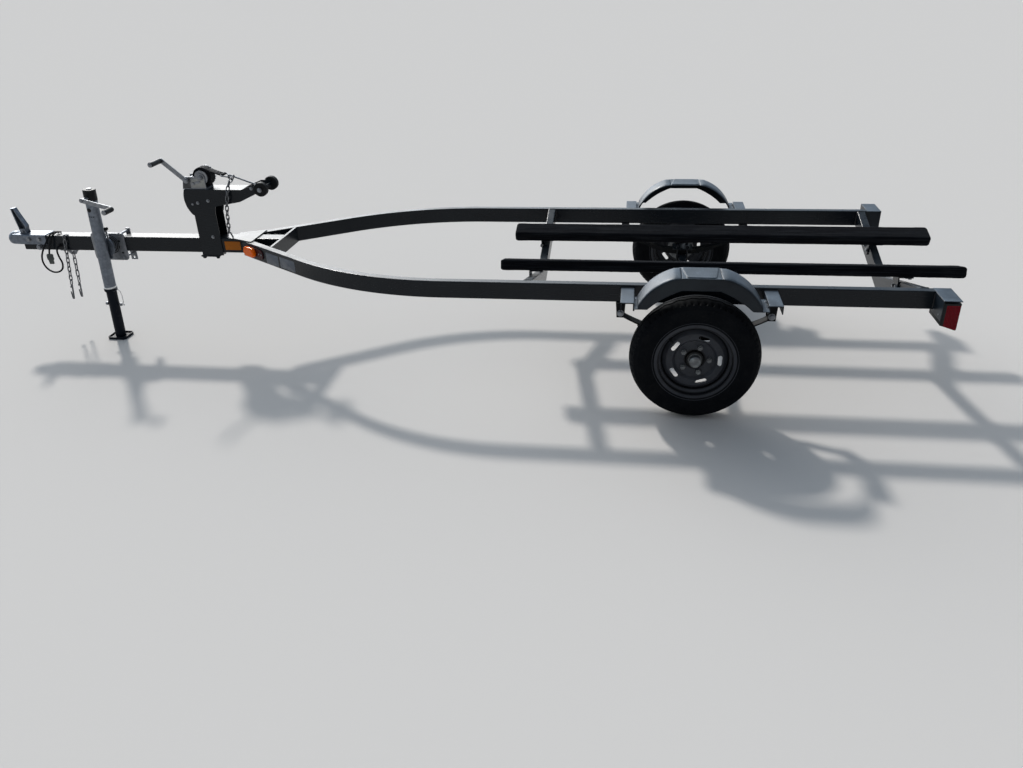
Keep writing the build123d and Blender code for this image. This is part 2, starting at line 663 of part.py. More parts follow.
def fender_lip(end):
    """The fender's end folded out to its arm and down along the arm's leg, where it is bolted."""
    arm_x = FENDER_ARM_X[0] if end < 0 else FENDER_ARM_X[1]
    seat = arm_x - end * FENDER_ARM_LENGTH / 2
    end_x, end_z = FENDER_END
    root = end * (end_x - FENDER_SHEET * 0.75)
    top = end_z + FENDER_SHEET
    lip = block(min(root, seat), max(root, seat), FENDER_IN, FENDER_OUT, end_z, top)
    fold = seat - end * FENDER_SHEET
    low = FENDER_ARM_TOP - FENDER_ARM_DEPTH
    return lip + block(min(fold, seat), max(fold, seat), FENDER_IN, FENDER_ARM_OUT, low, top)


def fender_arm(x):
    """A folded bracket that runs out from the rail, with a leg down its front and rear."""
    half = FENDER_ARM_LENGTH / 2
    t = FENDER_ARM_SHEET
    top = FENDER_ARM_TOP
    arm = block(x - half, x + half, RAIL_OUT, FENDER_ARM_OUT, top - t, top)
    arm += block(x - half, x - half + t, RAIL_OUT, FENDER_ARM_OUT, top - FENDER_ARM_DEPTH, top)
    arm += block(x + half - t, x + half, RAIL_OUT, FENDER_ARM_OUT, top - FENDER_ARM_DEPTH, top)
    return arm


# Lamps

def light_guard():
    """A sheet box over the rail's end and round the tail lamp, open to the rear and the outside."""
    t = GUARD_SHEET
    guard = block(GUARD_FRONT_X, GUARD_REAR_X, RAIL_IN, GUARD_OUT, FRAME_TOP - t, FRAME_TOP)
    guard += block(GUARD_FRONT_X, GUARD_FRONT_X + t, RAIL_IN, GUARD_OUT, GUARD_BOTTOM, FRAME_TOP)
    guard += block(GUARD_FRONT_X, GUARD_REAR_X, RAIL_IN, RAIL_IN + t, GUARD_BOTTOM, FRAME_TOP)
    return guard


def tail_light():
    """A lamp that is deeper at the rear, hung from the guard's top by its mounting block."""
    t = GUARD_SHEET
    x0 = GUARD_FRONT_X + t
    x1 = GUARD_REAR_X - 2
    top = FRAME_TOP - t - LENS_INSET
    face = outline((x0, LENS_FRONT_BOTTOM), (x1, LENS_REAR_BOTTOM), (x1, top), (x0, top))
    lamp = side_plate(face, RAIL_IN + t, GUARD_OUT - 2)
    lamp = fillet(lamp.edges().filter_by(Axis.Y), 5)
    lamp += block(x0, x0 + 30, RAIL_IN + t, RAIL_IN + t + 40, top - 1, FRAME_TOP - t)
    return lamp


def side_marker():
    """A ribbed oval lamp on the outer face of the rail's slanting front part."""
    turn = math.radians(SPLAY)
    x = RAIL_NOSE_X + MARKER_ALONG * math.cos(turn)
    y = rail_face_y(x, RAIL_WIDTH / 2)
    z = FRAME_TOP - TUBE_HEIGHT / 2
    outward = (-math.sin(turn), math.cos(turn), 0)
    plane = Plane(origin=(x, y, z), x_dir=(math.cos(turn), math.sin(turn), 0), z_dir=outward)
    lamp = extrude(plane * SlotOverall(MARKER_LENGTH, MARKER_HEIGHT), amount=MARKER_DEPTH)
    return fillet(lamp.faces().sort_by(Axis(origin=(x, y, z), direction=outward))[-1].edges(), 8)


def reflector():
    x0 = REFLECTOR_X - REFLECTOR_LENGTH / 2
    x1 = REFLECTOR_X + REFLECTOR_LENGTH / 2
    z0 = FRAME_TOP - TUBE_HEIGHT / 2 - REFLECTOR_HEIGHT / 2
    return block(x0, x1, TONGUE_HALF, TONGUE_HALF + REFLECTOR_DEPTH, z0, z0 + REFLECTOR_HEIGHT)


# Coupler

def latch_outline(points):
    return outline(*[(LATCH_X + x, FRAME_TOP + COUPLER_SHEET + z) for x, z in points])


def coupler():
    wall = COUPLER_SHEET
    half = TONGUE_HALF + wall
    head_r = BALL_R + SOCKET_GAP + SOCKET_WALL
    top = FRAME_TOP + wall
    neck = outline((BALL_X, -head_r), (TONGUE_FRONT_X, -half), (COUPLER_REAR_X, -half),
                   (COUPLER_REAR_X, half), (TONGUE_FRONT_X, half), (BALL_X, head_r))
    body = flat_plate(neck, COUPLER_BOTTOM, top)
    body = fillet(body.edges().group_by(Axis.Z)[-1], 6)
    body += Pos(BALL_X, 0, BALL_Z) * Sphere(head_r)
    body -= block(BALL_X - 99, COUPLER_REAR_X + 9, -99, 99, COUPLER_BOTTOM - 99, COUPLER_BOTTOM)
    body -= block(TONGUE_FRONT_X, COUPLER_REAR_X + 1, -TONGUE_HALF, TONGUE_HALF, COUPLER_BOTTOM - 1, FRAME_TOP)
    body -= Pos(BALL_X, 0, BALL_Z) * Sphere(BALL_R + SOCKET_GAP)
    body -= Pos(BALL_X, 0, COUPLER_BOTTOM - 1) * Cylinder(
        BALL_R + SOCKET_GAP, BALL_Z - COUPLER_BOTTOM + 1, align=(Align.CENTER, Align.CENTER, Align.MIN))
    ear = side_plate(latch_outline(LATCH_EAR), LATCH_HALF, LATCH_HALF + LATCH_SHEET)
    body += ear + mirror(ear, about=Plane.XZ)
    return body


def coupler_latch():
    """A folded lever, raised as it is parked."""
    lever = side_plate(latch_outline(LATCH_OUTER), -LATCH_HALF, LATCH_HALF)
    return lever - side_plate(latch_outline(LATCH_INNER), -LATCH_HALF - 1, LATCH_HALF - LATCH_SHEET)


def chain_bracket():
    """A bent plate bolted under the tongue, with a hole for the second safety chain."""
    top = FRAME_BOTTOM
    low = FRAME_BOTTOM - CHAIN_PLATE_DROP
    x = CHAIN_PLATE_X
    face = outline((x - 44, top), (x + 44, top), (x + 14, low), (x - 14, low))
    face -= disc(x, top - CHAIN_HOLE_DROP, CHAIN_HOLE_R)
    plate = side_plate(face, -CHAIN_PLATE / 2, CHAIN_PLATE / 2)
    return plate + block(x - 44, x + 44, -TONGUE_HALF + 4, TONGUE_HALF - 4, top - CHAIN_PLATE, top)


# Chains

def chain_link(end):
    """One link about its own middle, along X with end bars along Y a distance out, of straight octagonal wire."""
    side = LINK_SIDE
    cut = side * 0.62
    corners = [(end - cut, side), (end, side - cut), (end, cut - side), (end - cut, -side),
               (cut - end, -side), (-end, cut - side), (-end, side - cut), (cut - end, side)]
    path = Polyline((0, side), *corners, (0, side))
    wire = RegularPolygon(LINK_WIRE / 2, 8, major_radius=False, rotation=22.5)
    return sweep(Plane(origin=(0, side, 0), z_dir=(1, 0, 0)) * wire, path=path, transition=Transition.RIGHT)


def chain(points):
    """Links strung along a line of points, each a quarter turn round from the last.

    Their number is odd.  The first, third and so on stand across X and reach past their joints; the others
    have their end bars, which lie along X, just at the joints.  So a line may bend sharply about X.
    Gives the links, the last joint and the last link's direction."""
    line = Polyline(*points)
    count = 2 * int((line.length / LINK_PITCH - 1) / 2) + 1
    short = (line.length - 2 * LINK_REST * (count // 2)) / count
    runs = [short + 2 * LINK_REST * (index % 2) for index in range(count)]
    joints = [line @ (sum(runs[:index]) / line.length) for index in range(count + 1)]
    links = []
    for index, (start, end) in enumerate(zip(joints, joints[1:])):
        step = (end - start).normalized()
        across = step.cross(Vector(0, 1, 0)).normalized()
        plane = Plane(origin=tuple((start + end) / 2), x_dir=tuple(step), z_dir=tuple(across))
        reach = (end - start).length / 2 + LINK_REST * (1 - index % 2)
        links.append(plane * Rot(90 * (index % 2), 0, 0) * chain_link(reach))
    return links, joints[-1], step


def chain_hook(joint, step):
    """The long open hook that hangs in a chain's last link."""
    side = LINK_WIRE / 2 + HOOK_WIRE / 2 + LINK_GAP
    lateral = Vector(0, 1, 0).cross(step)
    top = joint + step * (LINK_REST - LINK_WIRE / 2 - HOOK_WIRE / 2 - LINK_GAP)
    plane = Plane(origin=tuple(top), x_dir=tuple(lateral), z_dir=tuple(lateral.cross(step)))
    tip = HOOK_MOUTH - side
    points = [(side, 24), (side, 0), (-side, 0), (-side, HOOK_LENGTH), (tip, HOOK_LENGTH), (tip, HOOK_TIP)]
    path = FilletPolyline(*points, radius=side - 0.2)
    wire = Plane(origin=path @ 0, z_dir=tuple(path % 0)) * Circle(HOOK_WIRE / 2)
    return plane * sweep(wire, path=path)


def safety_chains():
    """One chain from a link on the tongue's top, one from the plate under it, each with its hook."""
    flat_half = (LINK_PITCH + LINK_REST) / 2
    flat_z = FRAME_TOP + LINK_WIRE / 2 + LINK_SEAT
    flat = Plane(origin=(OVER_CHAIN_TOP_X, flat_half - CHAIN_Y, flat_z), x_dir=(0, -1, 0), z_dir=(0, 0, 1))
    over = (OVER_CHAIN_TOP_X, -CHAIN_Y, flat_z)
    over_links, over_end, over_step = chain([over, (OVER_CHAIN_LOW_X, -CHAIN_Y, OVER_CHAIN_LOW_Z)])
    hole_low = FRAME_BOTTOM - CHAIN_HOLE_DROP - CHAIN_HOLE_R
    under = (CHAIN_PLATE_X, 0, hole_low + 2 * LINK_SEAT + LINK_WIRE / 2 - LINK_REST)
    under_links, under_end, under_step = chain([under, (UNDER_CHAIN_LOW_X, 0, UNDER_CHAIN_LOW_Z)])
    pieces = [flat * chain_link(flat_half)] + over_links + under_links
    pieces += [chain_hook(over_end, over_step), chain_hook(under_end, under_step)]
    return Compound(children=pieces)


def bow_chain():
    """The chain from its U-bolt on the tongue, up beside the bow arm and over the shank of the strap's hook."""
    bolt = Vector(BOW_BOLT_X, BOW_BOLT_Y, BOW_BOLT_Z)
    clear_y = -(TONGUE_HALF + POST_SHEET + ARM_SHEET + LINK_SIDE + LINK_WIRE / 2 + 3)
    low = Vector(BOW_BOLT_X + 28, clear_y, ARM_TOP - 96)
    middle = Vector(BOW_BOLT_X + 49, clear_y - 5, ARM_TOP - 9.5)
    high = Vector(BOW_BOLT_X + 59, clear_y + 9.5, ARM_TOP + 33)
    shank = strap_place(RING_LENGTH + 18, SHANK_RISE)
    thick = HOOK_WIRE / 2 + LINK_WIRE / 2
    start = bolt - (low - bolt).normalized() * (thick + 2 * LINK_SEAT - LINK_REST)
    end = shank + (shank - high).normalized() * (thick - LINK_REST)
    links = chain([tuple(start), tuple(low), tuple(middle), tuple(high), tuple(end)])[0]
    foot = FRAME_TOP + LINK_SEAT
    front = BOW_BOLT_X - BOW_BOLT_HALF
    rear = BOW_BOLT_X + BOW_BOLT_HALF
    path = FilletPolyline((front, BOW_BOLT_Y, foot), (front, BOW_BOLT_Y, BOW_BOLT_Z), (rear, BOW_BOLT_Y, BOW_BOLT_Z),
                          (rear, BOW_BOLT_Y, foot), radius=10)
    bolt_wire = sweep(Plane(origin=path @ 0, z_dir=(0, 0, 1)) * Circle(HOOK_WIRE / 2), path=path)
    return Compound(children=links + [bolt_wire])


# Jack, drawn upright about its swivel axis, leaned afterwards

def leaned(shape):
    """Stands a jack piece drawn about the swivel axis in its place on the tongue."""
    return Pos(JACK_X, 0, JACK_Z) * Rot(0, JACK_LEAN, 0) * shape


def jack_tube():
    bore = JACK_TUBE_R - JACK_WALL
    tube = Pos(0, JACK_Y, -JACK_BOTTOM) * Cylinder(
        JACK_TUBE_R, JACK_BOTTOM + JACK_TOP, align=(Align.CENTER, Align.CENTER, Align.MIN))
    tube += Pos(0, JACK_Y, -JACK_BOTTOM) * Cylinder(
        COLLAR_R, COLLAR_HEIGHT, align=(Align.CENTER, Align.CENTER, Align.MIN))
    face = disc(0, 0, JACK_PLATE_R) + Pos(0, -30) * Rectangle(2 * JACK_TUBE_R, 60)
    inner = JACK_Y + JACK_TUBE_R
    tube += side_plate(face, inner - 6, inner + JACK_PLATE)
    for radius in (RIDGE_R, RIDGE_R - 2.5 * RIDGE_WIDTH):
        ridge = disc(0, 0, radius) - disc(0, 0, radius - RIDGE_WIDTH)
        tube += side_plate(ridge, inner - 6 - RIDGE_HEIGHT, inner - 6)
    tube += rod((0, inner, 0), (0, -TONGUE_HALF - BRACKET_PLATE - SWIVEL_GAP, 0), 9)
    tube -= Pos(0, JACK_Y, -JACK_BOTTOM - 1) * Cylinder(
        bore, JACK_BOTTOM + JACK_TOP, align=(Align.CENTER, Align.CENTER, Align.MIN))
    return leaned(tube)


def jack_cap():
    cap = Pos(0, JACK_Y, JACK_TOP) * Cylinder(JACK_TUBE_R + 1.5, JACK_CAP, align=(Align.CENTER, Align.CENTER, Align.MIN))
    cap = fillet(cap.edges().group_by(Axis.Z)[-1], 5)
    return leaned(cap)


def jack_crank():
    z = JACK_TOP + CRANK_RISE
    near = JACK_Y - JACK_TUBE_R - 1.5
    out = -CRANK_OUT
    crank = rod((0, near, z), (0, out - 4, z), CRANK_SHAFT_R)
    face = disc(0, z, 11) + disc(CRANK_ARM, z - 32, 11)
    face += outline((-2, z + 11), (CRANK_ARM + 2, z - 21), (CRANK_ARM - 2, z - 43), (2, z - 11))
    crank += side_plate(face, out - 5, out)
    return leaned(crank)


def jack_grip():
    z = JACK_TOP + CRANK_RISE - 32
    out = -CRANK_OUT - 5
    grip = rod((CRANK_ARM, out, z), (CRANK_ARM, out - CRANK_GRIP, z), CRANK_GRIP_R)
    return leaned(fillet(grip.edges().group_by(Axis.Y)[0], 4))


def jack_leg():
    radius = JACK_TUBE_R - JACK_WALL - LEG_GAP
    lean = math.radians(JACK_LEAN)
    low = -(JACK_Z - FOOT_SHEET - RUNNING_GAP - radius * math.sin(lean)) / math.cos(lean)
    high = -JACK_BOTTOM + LEG_OVERLAP
    tube = Pos(0, JACK_Y, low) * Cylinder(radius, high - low, align=(Align.CENTER, Align.CENTER, Align.MIN))
    tube -= Pos(0, JACK_Y, low - 1) * Cylinder(
        radius - LEG_WALL, high - low + 2, align=(Align.CENTER, Align.CENTER, Align.MIN))
    tube += rod((-radius - 12, JACK_Y, -JACK_BOTTOM - 78), (radius + 12, JACK_Y, -JACK_BOTTOM - 78), 5)
    return leaned(tube)


def jack_foot():
    """A level pad with turned-up edges, pinned to the end of the leaning leg."""
    radius = JACK_TUBE_R - JACK_WALL - LEG_GAP
    run = JACK_Z * math.tan(math.radians(JACK_LEAN))
    x = JACK_X - run
    pad = Pos(x, JACK_Y, 0) * extrude(RectangleRounded(FOOT_LENGTH, FOOT_WIDTH, 16), amount=FOOT_SHEET)
    rim_face = RectangleRounded(FOOT_LENGTH, FOOT_WIDTH, 16) - RectangleRounded(FOOT_LENGTH - 8, FOOT_WIDTH - 8, 12)
    pad += Pos(x, JACK_Y, 0) * extrude(rim_face, amount=FOOT_LIP)
    core = radius - LEG_WALL - 0.4
    plug = Pos(x, JACK_Y, FOOT_SHEET) * Cylinder(core - 3, 34, align=(Align.CENTER, Align.CENTER, Align.MIN))
    return pad + plug


def jack_bracket():
    """The plate clamped round the tongue by two straps and four bolts, and the boss that the jack turns on."""
    inner = TONGUE_HALF
    y0 = -inner - BRACKET_PLATE
    width = BRACKET_REAR_X - BRACKET_FRONT_X
    top = FRAME_TOP + BRACKET_RISE
    height = top - FRAME_BOTTOM + BRACKET_DROP
    corner = RectangleRounded(width, height, 16)
    bracket = side_plate(Pos(BRACKET_FRONT_X + width / 2, top - height / 2) * corner, y0, -inner)
    end = JACK_Y + JACK_TUBE_R + JACK_PLATE + SWIVEL_GAP
    bracket += rod((JACK_X, y0, JACK_Z), (JACK_X, end, JACK_Z), SWIVEL_R)
    bracket -= rod((JACK_X, y0, JACK_Z), (JACK_X, end - 1, JACK_Z), 9 + RUNNING_GAP)
    strap_top = FRAME_TOP + CLAMP_RISE + 11
    strap_low = FRAME_BOTTOM - STRAP_DROP
    for x in CLAMP_X:
        face = outline((x - 10, strap_top), (x + 10, strap_top), (x + 17, FRAME_BOTTOM), (x + 17, strap_low),
                       (x - 17, strap_low), (x - 17, FRAME_BOTTOM))
        face -= disc(x, strap_low + 14, 6)
        bracket += side_plate(face, inner, inner + BRACKET_PLATE)
        for z in (FRAME_TOP + CLAMP_RISE, FRAME_BOTTOM - CLAMP_DROP):
            bracket += rod((x, y0, z), (x, inner + BRACKET_PLATE + 10, z), CLAMP_BOLT_R)
    return bracket


# Winch stand

def winch_post():
    half = TONGUE_HALF
    face = outline((POST_FRONT_X, POST_TOP), (POST_REAR_X, POST_TOP), (POST_REAR_X, POST_BOTTOM),
                   (POST_FRONT_X, POST_BOTTOM))
    post = side_plate(face, -half - POST_SHEET, half + POST_SHEET)
    post -= block(POST_FRONT_X - 1, POST_REAR_X + 1, -half, half, POST_BOTTOM - 1, FRAME_TOP)
    post -= block(POST_FRONT_X + POST_SHEET, POST_REAR_X + 1, -half, half, FRAME_TOP - 1, POST_TOP + 1)
    return post


def arm_face():
    """Side view of the bow arm: a deep cheek at the winch and a beam that rises to the rollers."""
    top = (POST_FRONT_X - 26, ARM_TOP)
    low = (POST_FRONT_X - 2, ARM_CHEEK_BOTTOM)
    cheek = ThreePointArc(top, (POST_FRONT_X - ARM_CHEEK_BULGE, ARM_CHEEK_MID), low)
    lines = Polyline(low, (POST_REAR_X, ARM_CHEEK_BOTTOM), (POST_REAR_X + 10, ARM_HEEL), (ARM_KNEE_X, ARM_CHEEK_MID),
                     (ROLLER_X - 30, ROLLER_Z - 24), (ROLLER_X + 6, ROLLER_Z - 18), (ROLLER_X + 6, ROLLER_Z + 18),
                     (ROLLER_X - 40, ROLLER_Z + 20), (ARM_OPEN_X - 6, ARM_TOP), top)
    return make_face(cheek + lines)


def bow_arm():
    half = TONGUE_HALF + POST_SHEET
    outer = side_plate(arm_face(), -half - ARM_SHEET, half + ARM_SHEET)
    low = ARM_CHEEK_BOTTOM - 40
    hollow = block(POST_FRONT_X - 60, ROLLER_X + 60, -half, half, low, ARM_TOP - ARM_SHEET)
    hollow += block(ARM_OPEN_X, ROLLER_X + 60, -half, half, low, ARM_TOP + 60)
    arm = outer - hollow
    reach = half + ARM_SHEET + ROLLER_WIDTH + 6
    arm += rod((HOOK_BAR_X, -half - 1, HOOK_BAR_Z), (HOOK_BAR_X, half + 1, HOOK_BAR_Z), HOOK_BAR_R)
    return arm + rod((ROLLER_X, -reach, ROLLER_Z), (ROLLER_X, reach, ROLLER_Z), ROLLER_PIN_R)


def bow_roller():
    y = TONGUE_HALF + POST_SHEET + ARM_SHEET + RUNNING_GAP
    roller = side_plate(disc(ROLLER_X, ROLLER_Z, ROLLER_R) - disc(ROLLER_X, ROLLER_Z, ROLLER_PIN_R + RUNNING_GAP),
                        y, y + ROLLER_WIDTH)
    return fillet(roller.edges().filter_by(GeomType.CIRCLE).group_by(SortBy.RADIUS)[-1], 6)


def winch_frame():
    """A folded cradle: a base on the bow arm and two side plates with ears for the drum's axle."""
    w = WINCH_HALF
    t = WINCH_SHEET
    rear = DRUM_X + WINCH_EAR_R
    top = DRUM_Z + DRUM_R - 11
    base = block(WINCH_FRONT_X, rear, -w - t, w + t, ARM_TOP, ARM_TOP + t)
    cheek = outline((WINCH_FRONT_X, ARM_TOP), (rear, ARM_TOP), (rear, DRUM_Z), (DRUM_X, top), (WINCH_FRONT_X + 12, top))
    cheek += disc(DRUM_X, DRUM_Z, WINCH_EAR_R)
    side = side_plate(cheek, w, w + t) - side_plate(disc(DRUM_X, DRUM_Z, DRUM_R - 4 + RUNNING_GAP), w - 1, w + t + 1)
    side -= side_plate(disc(WINCH_CRANK_X, WINCH_CRANK_Z, WINCH_SHAFT_R + RUNNING_GAP), w - 1, w + t + 1)
    return base + side + mirror(side, about=Plane.XZ)


def winch_drum():
    """The axle, the core, a plain flange on the near side and the large gear on the far side."""
    w = WINCH_HALF - 1
    drum = rod((DRUM_X, -w, DRUM_Z), (DRUM_X, w, DRUM_Z), DRUM_R)
    drum += rod((DRUM_X, -w - WINCH_SHEET - 8, DRUM_Z), (DRUM_X, w + WINCH_SHEET + 8, DRUM_Z), DRUM_R - 4)
    drum += side_plate(disc(DRUM_X, DRUM_Z, FLANGE_R), -w, -w + GEAR_WIDTH)
    gear = side_plate(disc(DRUM_X, DRUM_Z, GEAR_R), w - GEAR_WIDTH, w)
    tooth = side_plate(outline((GEAR_R - 5, -2.2), (GEAR_R + 1, -3.6), (GEAR_R + 1, 3.6), (GEAR_R - 5, 2.2)),
                       w - GEAR_WIDTH - 1, w + 1)
    for index in range(GEAR_TEETH):
        gear -= Pos(DRUM_X, 0, DRUM_Z) * Rot(0, index * 360 / GEAR_TEETH, 0) * tooth
    return drum + gear


def crank_end():
    """Where the grip's bolt crosses the end of the winch's crank, in side view."""
    angle = math.radians(WINCH_CRANK_ANGLE)
    return WINCH_CRANK_X + WINCH_CRANK_ARM * math.cos(angle), WINCH_CRANK_Z + WINCH_CRANK_ARM * math.sin(angle)


def winch_crank():
    """Pinion shaft, flat arm and its bolt for the grip."""
    near = -WINCH_HALF - WINCH_SHEET - WINCH_CRANK_OFF
    far = WINCH_HALF + WINCH_SHEET + 5
    end_x, end_z = crank_end()
    crank = rod((WINCH_CRANK_X, near - 1, WINCH_CRANK_Z), (WINCH_CRANK_X, far, WINCH_CRANK_Z), WINCH_SHAFT_R)
    bar = Pos(WINCH_CRANK_ARM / 2, 0) * SlotOverall(WINCH_CRANK_ARM + WINCH_ARM_WIDTH, WINCH_ARM_WIDTH)
    place = Pos(WINCH_CRANK_X, 0, WINCH_CRANK_Z) * Rot(0, -WINCH_CRANK_ANGLE, 0)
    arm = place * side_plate(bar, near - WINCH_ARM_SHEET, near)
    bolt = rod((end_x, near - 1, end_z), (end_x, near - WINCH_ARM_SHEET - WINCH_GRIP - 4, end_z), WINCH_BOLT_R)
    return crank + arm + bolt


def winch_grip():
    near = -WINCH_HALF - WINCH_SHEET - WINCH_CRANK_OFF - WINCH_ARM_SHEET - RUNNING_GAP
    end_x, end_z = crank_end()
    grip = rod((end_x, near, end_z), (end_x, near - WINCH_GRIP, end_z), WINCH_GRIP_R)
    grip = fillet(grip.edges(), 4)
    return grip - rod((end_x, near + 1, end_z), (end_x, near - WINCH_GRIP - 1, end_z), WINCH_BOLT_R + RUNNING_GAP)


def strap_place(along, rise):
    """A point a distance past the strap's ring on its straight line to the hook's bolt, and a rise above it."""
    start = Vector(DRUM_X + 6, 0, DRUM_Z + SPOOL_R - STRAP_THICK)
    step = (Vector(HOOK_BAR_X, 0, HOOK_BAR_Z) - start).normalized()
    up = step.cross(Vector(0, 1, 0)) * -1
    return start + step * (STRAP_REACH + along) + up * rise


def strap_plane(along):
    """A plane along the strap's line, with Y up from it, for pieces drawn in side view."""
    here = strap_place(along, 0)
    return Plane(origin=tuple(here), x_dir=tuple(strap_place(along + 1, 0) - here), z_dir=(0, -1, 0))


def winch_strap():
    """The strap wound on the drum, and its free end sewn round the ring."""
    y0 = -STRAP_WIDTH / 2
    y1 = STRAP_WIDTH / 2
    spool = side_plate(disc(DRUM_X, DRUM_Z, SPOOL_R) - disc(DRUM_X, DRUM_Z, DRUM_R + RUNNING_GAP), y0, y1)
    eye = RING_WIRE / 2 + RUNNING_GAP
    loop = Rectangle(STRAP_REACH, STRAP_THICK, align=(Align.MAX, Align.CENTER)) + Circle(eye + STRAP_THICK)
    loop -= Circle(eye)
    return spool + extrude(strap_plane(0) * loop, amount=STRAP_WIDTH / 2, both=True)


def strap_ring():
    """A bent wire ring: a straight bar in the strap's loop and a rounded end for the hook."""
    half = STRAP_WIDTH / 2 + 12
    here = strap_place(0, 0)
    plane = Plane(origin=tuple(here), x_dir=tuple(strap_place(1, 0) - here), z_dir=tuple(strap_place(0, 1) - here))
    path = FilletPolyline((0, half), (RING_LENGTH, 7), (RING_LENGTH, -7), (0, -half), close=True, radius=5)
    wire = Plane(origin=path @ 0, z_dir=tuple(path % 0)) * Circle(RING_WIRE / 2)
    return plane * sweep(wire, path=path)


def strap_hook():
    """A long hook from the ring to the bolt in the bow arm."""
    eye = RING_WIRE / 2 + HOOK_WIRE / 2 + 0.5
    crook = HOOK_BAR_R + HOOK_WIRE / 2 + 0.5
    far = (Vector(HOOK_BAR_X, 0, HOOK_BAR_Z) - strap_place(RING_LENGTH, 0)).length
    points = [(12, -eye), (-eye, -eye), (-eye, SHANK_RISE), (20, SHANK_RISE), (far + crook, crook),
              (far + crook, -crook), (far - 6, -crook)]
    path = FilletPolyline(*points, radius=(6, 6, 6, 7, 7))
    wire = Plane(origin=path @ 0, z_dir=tuple(path % 0)) * Circle(HOOK_WIRE / 2)
    return strap_plane(RING_LENGTH) * sweep(wire, path=path)


# Lighting harness: a cable out of the tongue's side that hangs in a loop and goes back over the tongue,
# and beside it a short lead with the plug.  The points were chosen by eye.

CABLE_ROUTE = [
    (-3232, -38.4, 478),
    (-3232, -65, 478),
    (-3228, -85, 460),
    (-3220, -91, 432),
    (-3210, -90, 400),
    (-3218, -88, 368),
    (-3244, -87, 348),
    (-3278, -87, 344),
    (-3310, -85, 360),
    (-3330, -81, 390),
    (-3332, -76, 424),
    (-3320, -68, 458),
    (-3300, -60, 490),
    (-3284, -53, 518),
    (-3274, -34, 537),
    (-3268, -8, 541),
    (-3265, 17, 531.8),
]

LEAD_ROUTE = [
    (-3250, 16, 531.8),
    (-3252, -8, 541),
    (-3258, -34, 537),
    (-3266, -52, 518),
    (-3276, -57, 490),
    (-3288, -60, 462),
    (-3294, -61, 438),
]


def cord(route):
    """A round cable along straight runs joined by tangent arcs."""
    points = [Vector(*point) for point in route]
    radii = []
    for before, corner, after in zip(points, points[1:], points[2:]):
        turn = math.radians((corner - before).get_angle(after - corner))
        run = min((corner - before).length, (after - corner).length)
        radii.append(0.45 * run / math.tan(turn / 2))
    path = FilletPolyline(*route, radius=radii)
    tube = sweep(Plane(origin=path @ 0, z_dir=tuple(path % 0)) * Circle(CABLE_R), path=path)
    ratio = tube.volume / (math.pi * CABLE_R ** 2 * path.length)
    print("cord radii", [round(radius, 1) for radius in radii], "volume ratio", round(ratio, 4))
    return tube


def harness_plug():
    """A flat four-way plug: a moulded body with a narrower nose and a grip rib."""
    x, y, z = LEAD_ROUTE[-1]
    top = z - 1.6
    body = Pos(x, y, top - 17) * Box(30, 13, 34)
    body = fillet(body.edges().filter_by(Axis.Z), 4)
    nose = Pos(x, y, top - 44) * Box(24, 9, 20)
    rib = Pos(x, y, top - 8) * Box(34, 16, 5)
    return body + nose + rib


# The whole trailer

def build():
    save("tongue_tube", tongue())
    both_sides("side_rail", rail())
    save("front_cross_plate", cross_plate_front())
    save("gusset_plate", gusset())
    save("cross_member_front", cross_member(MEMBER_FRONT_X))
    save("cross_member_rear", cross_member(MEMBER_REAR_X))
    both_sides("bunk", bunk())
    for name, x in (("bunk_brackets_front", MEMBER_FRONT_X), ("bunk_brackets_rear", MEMBER_REAR_X)):
        bracket = bunk_bracket(x)
        save(name, Compound(children=[bracket, mirror(bracket, about=Plane.XZ)]))

    save("axle_beam", axle_beam())
    both_sides("leaf_spring", spring())
    both_sides("spring_hangers", Compound(children=[hanger(-SPRING_EYE_X), hanger(SPRING_EYE_X)]))
    both_sides("axle_clamp", axle_clamp())

    wheel_place = Pos(0, WHEEL_Y, AXLE_Z)
    both_sides("tyre", wheel_place * tyre())
    both_sides("rim", wheel_place * rim())
    both_sides("hub", wheel_place * hub())

    both_sides("fender", fender())
    both_sides("fender_arms", Compound(children=[fender_arm(x) for x in FENDER_ARM_X]))
    both_sides("light_guard", light_guard())
    both_sides("tail_light", tail_light())
    both_sides("side_marker", side_marker())
    both_sides("front_reflector", reflector())

    save("coupler_body", coupler())
    save("coupler_latch", coupler_latch())
    save("chain_bracket", chain_bracket())
    save("safety_chains", safety_chains())
    save("harness_cable", Compound(children=[cord(CABLE_ROUTE), cord(LEAD_ROUTE)]))
    save("harness_plug", harness_plug())

    save("jack_bracket", jack_bracket())
    save("jack_tube", jack_tube())
    save("jack_cap", jack_cap())
    save("jack_crank", jack_crank())
    save("jack_grip", jack_grip())
    save("jack_leg", jack_leg())
    save("jack_foot", jack_foot())

    save("winch_post", winch_post())
    save("bow_arm", bow_arm())
    save("winch_frame", winch_frame())
    save("winch_drum", winch_drum())
    save("winch_crank", winch_crank())
    save("winch_grip", winch_grip())
    save("winch_strap", winch_strap())
    save("strap_hook", Compound(children=[strap_ring(), strap_hook()]))
    save("bow_chain", bow_chain())
    both_sides("bow_roller", bow_roller())


build()
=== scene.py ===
import json
import math
import random

import bmesh
import bpy
from mathutils import Matrix, Vector, noise


